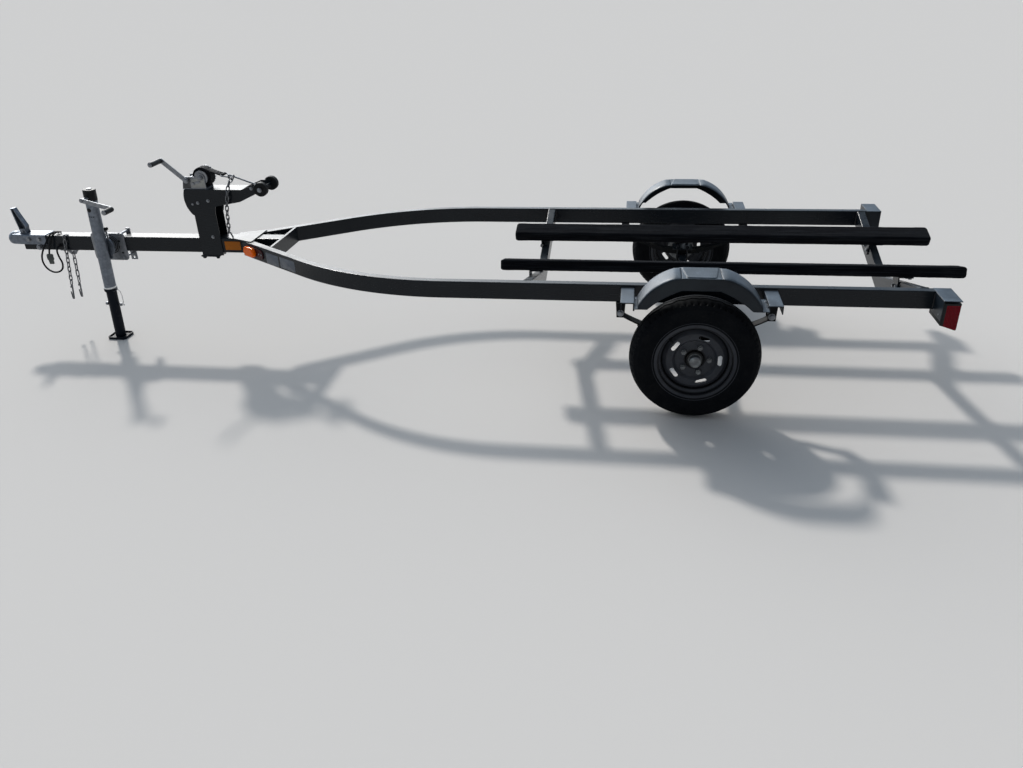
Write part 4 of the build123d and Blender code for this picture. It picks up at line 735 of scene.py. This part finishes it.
def tread_profile(angle_step):
    """Radius across the tread at one step round the tyre, as (y, radius)."""
    wave = abs(angle_step % 8 - 4) * 1.5 - 3
    notch = 0.0 if angle_step % 4 else 5.0
    shoulder = [(-50.5, notch), (-47, notch), (-40, notch), (-36, 0), (-25, 0)]
    rows = list(shoulder)
    for middle in (-20, 0, 20):
        rows += [(middle - 3.2 + wave, 0), (middle - 2.4 + wave, 6.5), (middle + 2.4 + wave, 6.5),
                 (middle + 3.2 + wave, 0)]
        if middle < 20:
            rows += [(middle + 8 + wave * 0.4, 0), (middle + 12 + wave * 0.2, 0)]
    rows += [(-y, cut) for y, cut in reversed(shoulder)]
    return [(y, TYRE_R - CROWN_DROP * y * y - cut) for y, cut in rows]


def tyre(side, sign):
    rings = []
    for step in range(TREAD_STEPS):
        rib = 0.35 if step % 2 else 0.0
        wall = [(y - (rib if 236 < r < 246 else 0), r) for r, y in SIDEWALL]
        line = [(-y, r) for y, r in wall] + tread_profile(step) + [(y, r) for y, r in reversed(wall)]
        line += [(44, 156), (0, 246), (-44, 156)]
        rings.append([wheel_middle(sign) + spoke(math.tau * step / TREAD_STEPS, r, y) for y, r in line])
    shape = Shape()
    shape.rings(rings, closed=True)
    piece = shape.made("tyre_tread_" + side, "tyre_rubber", "wheel_" + side, crease=32)
    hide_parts("tyre_" + side)


def wheel_trim(side, sign):
    """A valve stem in the rim and a rolled edge round its flange."""
    middle = wheel_middle(sign)
    out = spoke(math.radians(138), 1)
    face = Vector((0, sign, 0))
    profile = [(7.5, -3), (7.2, 4), (5.2, 9), (4.4, 20), (4.4, 24), (5.0, 24.5), (5.0, 34), (3.8, 36)]
    turned([(profile, middle + out * 144.5 + face * 34, face * 0.9 - out * 0.42, 18)],
           "valve_stem_" + side, "black_rubber", "wheel_" + side)
    edge = Shape()
    for end in (-1, 1):
        edge.tube([middle + spoke(math.tau * k / 96, 173.2, end * 55.3) for k in range(96)], 2.6, 8, closed=True)
    edge.made("rim_edge_" + side, "wheel_paint", "wheel_" + side)


# Chains

TONGUE_SIDE = 38.1
ARM_SIDE = 48.1
RAIL_FOOT = 450.8
FRAME_TOP = 527.0
LINK_WIRE = 5.5
LINK_PITCH = 23.6
LINK_SIDE = 7.25
LINK_GAP = 0.7
LINK_REST = LINK_WIRE + LINK_GAP
LINK_SEAT = 0.3
HOOK_WIRE = 8.0
HOOK_LENGTH = 92.0


def add_link(shape, middle, along, across, reach):
    """A welded round link about a middle, reaching to its end bars' centres."""
    along, across = Vector(along).normalized(), Vector(across).normalized()
    straight = reach - LINK_SIDE
    line = []
    for end in (1, -1):
        for step in range(9):
            angle = math.pi * (step / 8 - 0.5)
            line.append(middle + along * end * (straight + LINK_SIDE * math.cos(angle))
                        + across * end * LINK_SIDE * math.sin(angle))
    radii = [LINK_WIRE / 2] * len(line) + [LINK_WIRE / 2 + 0.45] * 2
    weld = middle - across * LINK_SIDE
    shape.tube(line + [weld - along * 1.6, weld + along * 1.6], radii, 10, closed=True)


def add_chain(shape, points):
    """Links along a line of points, each a quarter turn round from the last, as the CAD strings them."""
    points = [Vector(point) for point in points]
    lengths = [(b - a).length for a, b in zip(points, points[1:])]
    total = sum(lengths)

    def along_line(distance):
        for start, end, length in zip(points, points[1:], lengths):
            if distance <= length:
                return start.lerp(end, distance / length)
            distance -= length
        return points[-1]

    count = 2 * int((total / LINK_PITCH - 1) / 2) + 1
    short = (total - (count - 1) * LINK_REST) / count
    runs = [short + 2 * LINK_REST * (index % 2) for index in range(count)]
    joints = [along_line(sum(runs[:index])) for index in range(count + 1)]
    for index, (start, end) in enumerate(zip(joints, joints[1:])):
        step = (end - start).normalized()
        across = step.cross(Vector((0, 1, 0))).normalized()
        if index % 2 == 0:
            across = step.cross(across)
        reach = (end - start).length / 2 + LINK_REST * (1 - index % 2)
        add_link(shape, (start + end) / 2, step, across, reach)
    return joints[-1], step


def add_chain_hook(shape, joint, step):
    side = LINK_WIRE / 2 + HOOK_WIRE / 2 + LINK_GAP
    lateral = Vector((0, 1, 0)).cross(step)
    top = joint + step * (LINK_REST - LINK_WIRE / 2 - HOOK_WIRE / 2 - LINK_GAP)
    tip = 18.0 - side
    flat = [(side, 24), (side, 0), (-side, 0), (-side, HOOK_LENGTH), (tip, HOOK_LENGTH), (tip, 46)]
    line = rounded([top + lateral * u + step * v for u, v in flat], side - 0.3)
    shape.tube(line, [HOOK_WIRE / 2] * (len(line) - 1) + [HOOK_WIRE / 2 * 0.7], 12)


def safety_chains():
    shape = Shape()
    chain_y = -(TONGUE_SIDE + LINK_SIDE + LINK_WIRE / 2 + LINK_SEAT)
    flat_half = (LINK_PITCH + LINK_REST) / 2
    flat_z = FRAME_TOP + LINK_WIRE / 2 + LINK_SEAT
    plate_z = RAIL_FOOT - 22 + 2 * LINK_SEAT + LINK_WIRE / 2 - LINK_REST
    add_link(shape, Vector((-3190, flat_half + chain_y, flat_z)), (0, 1, 0), (1, 0, 0), flat_half)
    ends = [add_chain(shape, [(-3190, chain_y, flat_z), (-3226, chain_y, 268)]),
            add_chain(shape, [(-3200, 0, plate_z), (-3215, 0, 262)])]
    for joint, step in ends:
        add_chain_hook(shape, joint, step)
    piece = shape.made("safety_chain_links", "zinc", finish="chain_steel")
    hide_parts("safety_chains")


def strap_place(along, rise, y=0.0):
    """A point on the winch strap's line, from the ring on towards the hook's bolt, and a rise above it."""
    start = Vector((-2368, 0, 875.6))
    step = (Vector((-2116, 0, 783)) - start).normalized()
    up = Vector((-step.z, 0, step.x))
    return start + step * (103.2 + along) + up * rise + Vector((0, y, 0))


def bow_chain():
    shape = Shape()
    bolt = Vector((-2284, -27, 562))
    clear_y = -(ARM_SIDE + LINK_SIDE + LINK_WIRE / 2 + 3)
    low = Vector((-2256, clear_y, 680))
    middle = Vector((-2235, clear_y - 5, 766.5))
    high = Vector((-2225, clear_y + 9.5, 809))
    shank = strap_place(52, 8.5)
    thick = HOOK_WIRE / 2 + LINK_WIRE / 2
    start = bolt - (low - bolt).normalized() * (thick + 2 * LINK_SEAT - LINK_REST)
    end = shank + (shank - high).normalized() * (thick - LINK_REST)
    add_chain(shape, [start, low, middle, high, end])
    foot = FRAME_TOP + LINK_SEAT
    bow = rounded([(-2300, -27, foot), (-2300, -27, 562), (-2268, -27, 562), (-2268, -27, foot)], 10)
    shape.tube(bow, HOOK_WIRE / 2, 12)
    piece = shape.made("bow_chain_links", "zinc", finish="chain_steel")
    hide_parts("bow_chain")


# Bunks

BUNK_WIDTH = 99
BUNK_THICK = 48
BUNK_EDGE = 9
MEMBERS_X = (-705, 889)


def bunk_top(side):
    """The middle of a bunk's top, the way that it faces, and the way across it."""
    mount = next(m for m in frame["record"]["mounts"] if m["name"] == "bunk_top_" + side)
    normal = Vector(mount["axis"])
    return drawn(mount["pos_m"]), normal, Vector((1, 0, 0)).cross(normal)


def bunk(side):
    """A board wrapped in marine carpet: soft edges, thicker folded ends and a lapped seam underneath."""
    low_x, high_x = (drawn(corner).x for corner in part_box("bunk_" + side))
    top, normal, across = bunk_top(side)
    outline = rounded_sheet(-BUNK_WIDTH / 2, BUNK_WIDTH / 2, -BUNK_THICK, 0, BUNK_EDGE, 3)
    dense = []
    for (u0, v0), (u1, v1) in zip(outline, outline[1:] + outline[:1]):
        parts = max(1, round(math.hypot(u1 - u0, v1 - v0) / 6))
        dense += [(u0 + (u1 - u0) * k / parts, v0 + (v1 - v0) * k / parts) for k in range(parts)]
    length = high_x - low_x
    count = round(length / 8)
    rings = []
    for index in range(count + 1):
        x = low_x + length * index / count
        from_end = min(x - low_x, high_x - x)
        round_off = math.sqrt(max(0.0, 1 - max(0.0, 1 - from_end / 10) ** 2))
        puff = 1.1 * math.exp(-((from_end - 30) / 30) ** 2)
        ring = []
        for u, v in dense:
            inward = v + BUNK_THICK / 2
            place = Vector((x, top.y, top.z)) + across * u * (1 - 0.10 * (1 - round_off))
            place += normal * (inward * (1 - 0.2 * (1 - round_off)) - BUNK_THICK / 2)
            rough = noise.noise(at(*place) * 90) * 0.6 + noise.noise(at(*place) * 9) * 0.7
            out = (across * u + normal * inward).normalized()
            lap = 1.2 if v < 2 - BUNK_THICK and -4 < u < 30 else 0.0
            ring.append(place + out * (rough + puff - 0.5) - normal * lap)
        rings.append(ring)
    shape = Shape()
    shape.rings(rings)
    piece = shape.made("bunk_carpet_" + side, "carpet", crease=60)
    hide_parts("bunk_" + side)
    staples = Shape()
    for index in range(22):
        x = low_x + 50 + (length - 100) * index / 21
        for u in (26, -38):
            middle = Vector((x, top.y, top.z)) + across * (u + rng.uniform(-2, 2)) - normal * (BUNK_THICK + 0.9)
            run = Vector((1, rng.uniform(-0.2, 0.2), 0)).normalized() * 5.5
            staples.tube([middle - run, middle + run], 0.7, 6)
    staples.made("bunk_staples_" + side, "zinc")


def bunk_bolts(side):
    """Bolts through each bracket into the cross member, and up through its flange into the bunk."""
    top, normal, across = bunk_top(side)
    under = top - normal * BUNK_THICK
    shape = Shape()
    for member in MEMBERS_X:
        for u in (-22, 22):
            face = under - normal * 42 + across * u
            face.x = member - 24.05
            shape.bolt(face, (-1, 0, 0), 15, 6)
            flange = under - normal * 5 + across * u
            flange.x = member + 28
            shape.bolt(flange, -normal, 13, 5)
    shape.made("bunk_bolts_" + side, "zinc")


# Winch

DRUM = (-2374, 831.6)
DRUM_R = 17
WOUND_R = 47
STRAP_HALF = 22.5
STRAP_LAYERS = 22
CRANK = (-2444, 822)
CRANK_LENGTH = 146
CRANK_ANGLE = math.radians(138)


def add_ribbon(shape, top, low, half):
    """A flat band between two lines, with its sides rounded off."""
    rings = []
    for a, b in zip(top, low):
        edge = (a - b) * 0.25
        rim = [(a, 0.6 - half), (a, half - 0.6), (a - edge, half), (b + edge, half), (b, half - 0.6),
               (b, 0.6 - half), (b + edge, -half), (a - edge, -half)]
        rings.append([point + Vector((0, y, 0)) for point, y in rim])
    shape.rings(rings)


def winch_strap():
    """Webbing wound on the drum in layers, and its free end sewn round the ring."""
    profile = []
    for layer in range(STRAP_LAYERS + 1):
        r = DRUM_R + (WOUND_R - DRUM_R) * layer / STRAP_LAYERS
        y = rng.uniform(-0.5, 0.3) - STRAP_HALF
        profile += [(r - 0.5, y + 0.8), (r, y + 0.2), (r + 0.5, y + 0.8)]
    other = [(r, -y) for r, y in reversed(profile)]
    crown = [(47.3, -16), (47.0, -8), (47.2, 0), (47.0, 8), (47.3, 16)]
    shape = Shape()
    shape.lathe(profile + crown + other, (DRUM[0], 0, DRUM[1]), (0, 1, 0), 72)
    steps = [(103 * k / 28 - 109, 1.08 * math.sin(math.pi * k / 28)) for k in range(29)]
    top_line, low_line = ([strap_place(along, rise - sag) for along, sag in steps] for rise in (1.5, -1.3))
    add_ribbon(shape, top_line, low_line, STRAP_HALF)
    angles = [math.radians(140 - 28 * k) for k in range(11)]
    outer, inner = ([strap_place(r * math.cos(a), r * math.sin(a)) for a in angles] for r in (6.2, 3.6))
    add_ribbon(shape, outer, inner, STRAP_HALF)
    tail_top = [strap_place(-4 - 3.0 * k, -1.4 - 0.1 * k) for k in range(14)]
    tail_low = [strap_place(-4 - 3.0 * k, -3.9 - 0.02 * k) for k in range(14)]
    add_ribbon(shape, tail_top, tail_low, STRAP_HALF - 0.6)
    piece = shape.made("winch_webbing", "webbing", crease=50)
    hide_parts("winch_strap")
    stitches = Shape()
    for row in (-9, -14, -19, -24, -29, -34):
        for y in range(-18, 19, 3):
            stitches.tube([strap_place(row - 1.1, 1.75, y), strap_place(row + 1.1, 1.75, y + 0.6)], 0.4, 5)
    stitches.made("strap_stitches", "webbing", finish="thread")


def winch_trim():
    """The ratchet's pawl, a worn patch and a blank label on the near plate, and a disc on the grip's end."""
    pawl = Shape()
    outline = [(0, -7), (5, -7), (9, -3), (34, 3), (38, 8), (37, 14), (32, 15), (6, 7), (-5, 6), (-8, 0), (-5, -6)]
    pawl.plate(outline, 3, 0.5, (-2417, -37.6, 803))
    pawl.bolt((-2417, -40.6, 803), LEFT, 12, 4, washer=False)
    pawl.made("winch_pawl", "zinc")
    for name, finish, outline in (
            ("winch_worn_patch", "worn_plate", [(0, 0), (42, 0), (44, 49), (9, 53)]),
            ("winch_blank_label", "silver_label", [(46, 3), (118, 3), (118, 41), (113, 52), (103, 58), (91, 57),
                                                   (81, 47), (48, 45)])):
        sheet = Shape()
        sheet.plate(outline, 0.5, 0.1, (-2475, -37.5, 781))
        sheet.made(name, "zinc", finish=finish)
    end = Vector((CRANK[0], -154.8, CRANK[1])) + spoke(CRANK_ANGLE, CRANK_LENGTH)
    turned([([(10.5, 0), (10.5, 1.2), (8.0, 2.2), (5.5, 2.4), (5.5, 5.2), (3, 6)], end, LEFT, 24)],
           "winch_grip_end", "zinc")


# Bolts and nuts

RAIL_OUT = 583.0
RAIL_Y = 563.95
HANGER_SIDE = 27.55
HANGERS_X = (-308, 308)
SPRING_EYE_Z = 404

SIDE_BOLTS = [
    # along, out from the middle, height, width of the head, height of the head
    (-2438, ARM_SIDE, 703, 8, 3),
    (-2409, ARM_SIDE, 710, 12, 5),
    (-2353, ARM_SIDE, 721, 12, 5),
    (-2368, 43.1, 535, 12, 5),
    (-3344, 42.6, 508, 19, 8),
    (-3402, 42.6, 508, 19, 8),
    (-3357, TONGUE_SIDE, 466, 22, 9),
]
SMALL_BOLTS = [
    (-2058, 84.1, 784, 16, 6),
    (DRUM[0], 44.5, DRUM[1], 17, 5),
    (-2116, ARM_SIDE, 783, 12, 5),
    (-3443, 18, 544, 11, 4),
]
JACK_BOLTS = [(-3022, 540), (-2882, 540), (-3022, 417.8), (-2882, 417.8)]


def frame_bolts():
    shape = Shape()
    for x, out, z, across, height in SIDE_BOLTS:
        for sign in (-1, 1):
            shape.bolt((x, sign * out, z), (0, sign, 0), across, height)
    for x, z in JACK_BOLTS:
        shape.bolt((x, -44.1, z), LEFT, 15, 6.5)
        shape.bolt((x, 44.1, z), (0, 1, 0), 15, 8)
    for x in HANGERS_X:
        for side in (-1, 1):
            for end in (-1, 1):
                shape.bolt((x, side * RAIL_Y + end * HANGER_SIDE, SPRING_EYE_Z), (0, end, 0), 20.5, 9.5)
    for x, facing_x in ((-251.5, 1), (263.5, -1)):
        for y in (-672, 672, -728, 728):
            shape.bolt((x, y, 499), (facing_x, 0, 0), 13, 5)
    shape.bolt((-2466, 0, 779.5), (0, 0, 1), 15, 6)
    for sign in (-1, 1):
        for x, out, z, across, height in SMALL_BOLTS:
            shape.bolt((x, sign * out, z), (0, sign, 0), across, height)
    shape.bolt((CRANK[0], -56.5, CRANK[1]), LEFT, 19, 7)
    for x, y in ((-3228, 22), (-3172, 22), (-3228, -22), (-3172, -22)):
        shape.bolt((x, y, RAIL_FOOT - 3.2), DOWN, 13, 5)
    shape.made("frame_bolts", "zinc")
    clamp = Shape()
    clamp.box((-2452, -46, 430), (-2352, 46, 437.6), 1.5)
    for x in (-2438, -2366):
        for y in (-36, 36):
            clamp.bolt((x, y, 430), DOWN, 16, 8)
    clamp.made("post_clamp", "frame_paint")


# Welds

SPLAY = math.radians(34.7)
ARMS_X = (-281, 293)
SEAM_Y = RAIL_OUT + 0.8
SEAM_Z = 527.6
WELD_R = 3.0
THIN_WELD_R = 2.4
WELD_RIPPLE = 0.0016


def add_weld(shape, start, run, radius=WELD_R):
    """A rippled bead from a point, over a run."""
    start = Vector(start)
    end = start + Vector(run)
    count = max(6, round((at(*end) - at(*start)).length / WELD_RIPPLE))
    line, radii = [], []
    for index in range(count + 1):
        point = start.lerp(end, index / count)
        line.append(point + noise.noise_vector(at(*point) * 60) * 0.5)
        taper = min(1.0, 0.35 + min(index, count - index) / 4)
        radii.append(radius * taper * (0.82 + 0.18 * (index % 3 == 0)))
    shape.tube(line, radii, 8)


def welds():
    shape = Shape()
    for sign in (-1, 1):
        for member in MEMBERS_X:
            for x in (member - 19.6, member + 19.6):
                add_weld(shape, (x, sign * 543.6, 456), (0, 0, 66))
            add_weld(shape, (member - 17, sign * 544.6, 526.6), (34, 0, 0))
        for arm in ARMS_X:
            for x in (arm - 27.6, arm + 27.6):
                add_weld(shape, (x, sign * SEAM_Y, 484), (0, 0, 29))
            add_weld(shape, (arm - 25, sign * SEAM_Y, 516.6), (50, 0, 0))
        for x in HANGERS_X:
            for end in (-1, 1):
                y = sign * RAIL_Y + end * (HANGER_SIDE + 0.6)
                add_weld(shape, (x - 18, y, RAIL_FOOT - 0.8), (36, 0, 0))
        add_weld(shape, (919.6, sign * SEAM_Y, 458), (0, 0, 62))
        for x in (-2026.4, -2011.6):
            add_weld(shape, (x, sign * (44.4 + (x + 2178.3) * math.tan(SPLAY)), 458), (0, 0, 62))
        add_weld(shape, (-2139, sign * 66, SEAM_Z), (0, sign * 32, 0))
    add_weld(shape, (-2263, -34, SEAM_Z), (0, 68, 0))
    for x in (-2200, -2160, -2120, -2080):
        for y in (-38.8, 38.8):
            add_weld(shape, (x, y, 526), (22, 0, 0), THIN_WELD_R)
    shape.made("weld_beads", "frame_paint", finish="weld")


# Fenders' crowns

CROWN = [(778.4, -1.0), (778.4, 0.8), (776.8, 3.4), (772, 5.6), (763, 7.1), (745, 7.9), (713, 8.1), (681, 7.9),
         (664, 7.1), (656, 5.4), (650.8, 3.2), (648.6, 0.8), (648.6, -1.0)]


def arc_through(a, b, c, steps):
    """Points of the arc from a to c through b, in x and z."""
    (ax, az), (bx, bz), (cx, cz) = a, b, c
    d = 2 * (ax * (bz - cz) + bx * (cz - az) + cx * (az - bz))
    aa, bb, cc = ax * ax + az * az, bx * bx + bz * bz, cx * cx + cz * cz
    mid_x = (aa * (bz - cz) + bb * (cz - az) + cc * (az - bz)) / d
    mid_z = (aa * (cx - bx) + bb * (ax - cx) + cc * (bx - ax)) / d
    radius = math.hypot(ax - mid_x, az - mid_z)
    start = math.atan2(az - mid_z, ax - mid_x)
    end = math.atan2(cz - mid_z, cx - mid_x)
    angles = [start + (end - start) * k / steps for k in range(steps + 1)]
    return [(mid_x + radius * math.cos(angle), mid_z + radius * math.sin(angle)) for angle in angles]


def fender_crown(side, sign):
    """The crowned skin of the fender's two slopes, with rolled edges; it runs out at the flat step."""
    line = arc_through((-240, 500), (-168, 592), (-72, 632), 36)
    shape = Shape()
    for end in (1, -1):
        rings = []
        for index, (x, z) in enumerate(line):
            before = line[max(index - 1, 0)]
            after = line[min(index + 1, len(line) - 1)]
            along = Vector((after[0] - before[0], after[1] - before[1])).normalized()
            full = min(1.0, index / 2, (len(line) - 1 - index) / 5)
            full = full * full * (3 - 2 * full)
            ring = []
            for y, rise in CROWN:
                lift = rise * full - 0.4 * (1 - full)
                ring.append((end * (x - along.y * lift), sign * y, z + along.x * lift))
            rings.append(ring)
        shape.rings(rings)
    shape.made("fender_crown_" + side, "frame_paint", finish="fender_paint")


# Jack's small parts

SWIVEL = Vector((-2944, 0, 489))
JACK_LEAN = math.radians(3)
JACK_AHEAD = Vector((math.cos(JACK_LEAN), 0, -math.sin(JACK_LEAN)))
JACK_UP = Vector((math.sin(JACK_LEAN), 0, math.cos(JACK_LEAN)))
# The rings round the tube and the pull pin lean across the trailer, 4 degrees off the tube's own line.
TRIM_UP = (0, -math.sin(JACK_LEAN), math.cos(JACK_LEAN))
JACK_Y = -118
PULL_PIN = (24, -86)
COIL_STEPS = 90


def leaned(x, y, z):
    """A point of the jack, drawn upright about its swivel, as the jack leans at rest."""
    return SWIVEL + JACK_AHEAD * x + JACK_UP * z + Vector((0, y, 0))


def jack_trim():
    """What goes with the jack's outer tube: fittings, pull pin, collar, the leg pin's keeper and the plug."""
    steel = Shape()
    steel.bolt(leaned(0, -194, 268), LEFT, 15, 5)
    steel.lathe([(11.5, 0), (11.5, 1.2), (9.5, 2), (4, 2.4)], leaned(150, -261, 236), LEFT, 24)
    steel.lathe([(12.5, 0), (12.5, 3), (10.5, 4.5)], leaned(0, JACK_Y, 306), TRIM_UP, 24)
    steel.lathe([(6.8, 0), (6.8, 10), (4, 10.5), (4, 46)], leaned(*PULL_PIN, 44), TRIM_UP, 16)
    pin = facing(leaned(*PULL_PIN, 44), TRIM_UP)
    coil = []
    for step in range(COIL_STEPS):
        a = math.tau * step / 14
        coil.append(pin @ Vector((5.6 * math.cos(a), 5.6 * math.sin(a), 11.2 + 27.5 * step / (COIL_STEPS - 1))))
    steel.tube(coil, 0.7, 6)
    steel.made("jack_fittings", "zinc", "jack")

    knob = Shape()
    knob.lathe([(6.2, 0), (8.8, 3), (9.6, 9), (8.8, 15), (5, 18)], leaned(*PULL_PIN, 88), TRIM_UP, 24)
    for step in range(8):
        a = math.tau * step / 8
        side = leaned(*PULL_PIN, 97) + JACK_AHEAD * 9.4 * math.cos(a) + Vector((0, 9.4 * math.sin(a), 0))
        knob.tube([side - JACK_UP * 5, side + JACK_UP * 5], 1.2, 6)
    knob.made("pull_pin_knob", "black_plastic", "jack")

    profile = [(29.1, 0), (30.8, 0.8), (30.8, 8.4), (29.1, 9.2)]
    turned([(profile, leaned(0, JACK_Y, -209.4), TRIM_UP, 40)], "collar_band", "zinc", "jack", "pale_plastic")
    # A dark ring in the leg's paint over the lower part of the collar is painted shade.
    profile = [(29.2, 0), (32.4, 0.6), (32.6, 7), (32.4, 14.2), (29.2, 14.8)]
    turned([(profile, leaned(0, JACK_Y, -224.4), TRIM_UP, 40)], "collar_painted_shade", "leg_paint", "jack")

    keeper = Shape()
    keeper.tube([leaned(30, -118, -217), leaned(40, -118.5, -219), leaned(50, -119, -228), leaned(55, -119, -246),
                 leaned(56, -119, -270), leaned(55, -118.5, -290), leaned(55, -118, -303)], 1.4, 8)
    keeper.lathe([(2.4, -4), (3.2, -2), (3.2, 2), (2.4, 4)], leaned(55, JACK_Y, -303), TRIM_UP, 12)
    keeper.made("pin_keeper_wire", "zinc", "jack")

    plug = Shape()
    plug.lathe([(10.5, -4), (10.5, 0.6), (8.5, 1.6), (0.1, 1.8)], leaned(-4, -146.7, 207), LEFT, 28)
    for x in (-9, 1, 11):
        plug.box(leaned(x - 3.5, -147.2 + 0.006 * x * x, 171), leaned(x + 3.5, -142, 176), 0.6)
    plug.made("jack_tube_plug", "black_plastic", "jack")


def leg_pin():
    """A knob at each end of the drop leg's pin."""
    profile = [(5.2, -6), (7.8, -5), (8.8, 0.5), (7.8, 6), (4, 7.5)]
    turned([(profile, leaned(end * 37.9, JACK_Y, -302), JACK_AHEAD * end, 20) for end in (-1, 1)],
           "leg_pin_knobs", "zinc", "jack_leg")


def bracket_trim():
    """Ridges round the jack bracket's boss, with painted shade in the grooves between them and dark discs of painted
    shade inside three round holes.
    """
    plate_y = -TONGUE_SIDE - 6
    boss = (SWIVEL.x, plate_y, SWIVEL.z)
    turned([([(r - 2.2, -0.4), (r - 1.6, 1.6), (r + 1.6, 1.6), (r + 2.2, -0.4)], boss, LEFT, 56) for r in (36, 45)],
           "bracket_ridges", "zinc")
    # Black rings and discs that are painted shade: the grooves round the boss and the holes' insides.
    hole_shades = [([(5.2, -0.2), (5.2, 0.4), (0.1, 0.5)], (x, plate_y, z), LEFT, 20)
             for x, z in ((-2898, 475), (-2884, 445), (-2890, 506))]
    turned([([(30.2, -0.2), (30.2, 0.5), (50, 0.5), (50.4, -0.2)], boss, LEFT, 56)] + hole_shades,
           "bracket_painted_shade", "black_rubber")


# Lamps' trim and the blank stickers

def on_nose(along, up, out, sign):
    """A point on the slanting front of a rail's outer face: along from its nose, a height, and outward."""
    return Vector((-2200 + along * math.cos(SPLAY) - out * math.sin(SPLAY),
                   sign * (76.7 + along * math.sin(SPLAY) + out * math.cos(SPLAY)), up))


def nose_sheet(shape, left, right, low, high, thick, corner, sign):
    """A thin plate with round corners on a rail's slanting front."""
    rings = []
    for out, inset in ((0.0, 0.0), (thick * 0.7, 0.0), (thick, min(0.5, thick * 0.4))):
        ring = []
        for u, v in rounded_sheet(left, right, low, high, corner, 4):
            u -= math.copysign(inset, u - (left + right) / 2)
            v -= math.copysign(inset, v - (low + high) / 2)
            ring.append(on_nose(u, v, out, sign))
        rings.append(ring)
    shape.rings(rings)


def nose_trim(side, sign):
    """Each marker lamp's dark base, its screws, and the blank stickers behind it."""
    base = Shape()
    nose_sheet(base, 24, 184, 463, 515, 5, 24, sign)
    base.made("marker_base_" + side, "red_lens", finish="dark_red")
    labels = Shape()
    for left, right, low, high in ((207, 314, 456, 511), (327, 451, 460, 513)):
        nose_sheet(labels, left, right, low, high, 0.35, 5, sign)
    labels.made("blank_stickers_" + side, "black_plastic", finish="blank_label")
    out = Vector((-math.sin(SPLAY), sign * math.cos(SPLAY), 0))
    profile = [(4.2, -0.4), (4.2, 0.8), (3, 2), (1, 2.3)]
    turned([(profile, on_nose(along, 489, 5, sign), out, 16) for along in (150, 172)],
           "marker_screws_" + side, "zinc")


def tail_lamp_trim(side, sign):
    """The lamp's black housing at the front, a black strip on top that is painted shade under the guard's top plate,
    its ribs and screws.
    """
    front, rear = (drawn(corner).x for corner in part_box("tail_light_" + side))
    y0, y1 = sorted((sign * 685.8, sign * 547.5))
    top = 516.5
    house = Shape()
    house.box((front - 0.2, y0, 423.5), (front + 9, y1, top), 1.2)
    # This top strip is painted shade under the guard's top plate.
    house.box((front + 8, y0, 508), (rear + 0.4, y1, top), 1.2)
    house.box((front + 7, y0 + 0.4, 421.5), (front + 12, y1 - 0.4, top - 4), 0.8)
    house.made("lamp_housing_and_shade_" + side, "black_plastic")
    ribs = Shape()
    for index in range(8):
        x = front + 17 + 5.8 * index
        y = sign * 685.2
        foot = 429 - 21 * (x - front) / (rear - front)
        ribs.tube([(x, y, foot), (x, y, 505)], 0.9, 6)
    ribs.made("lamp_ribs_" + side, "red_lens")
    screws = [([(3.6, -0.4), (3.6, 0.6), (2.2, 1.4)], (rear, sign * 615, z), (1, 0, 0), 14) for z in (440, 486)]
    screws += [([(4.2, -0.4), (4.2, 0.6), (2.6, 1.8)], (920.5, sign * y, 458.5), (-1, 0, 0), 14) for y in (600, 655)]
    turned(screws, "lamp_screws_" + side, "zinc")


make_camera()
make_stage()
make_light()
paint_cad_nodes()
harness()
for side, sign in (("left", -1), ("right", 1)):
    tyre(side, sign)
    wheel_trim(side, sign)
    fender_crown(side, sign)
    bunk(side)
    bunk_bolts(side)
    nose_trim(side, sign)
    tail_lamp_trim(side, sign)
safety_chains()
bow_chain()
winch_strap()
winch_trim()
frame_bolts()
welds()
jack_trim()
bracket_trim()
leg_pin()
grommet()
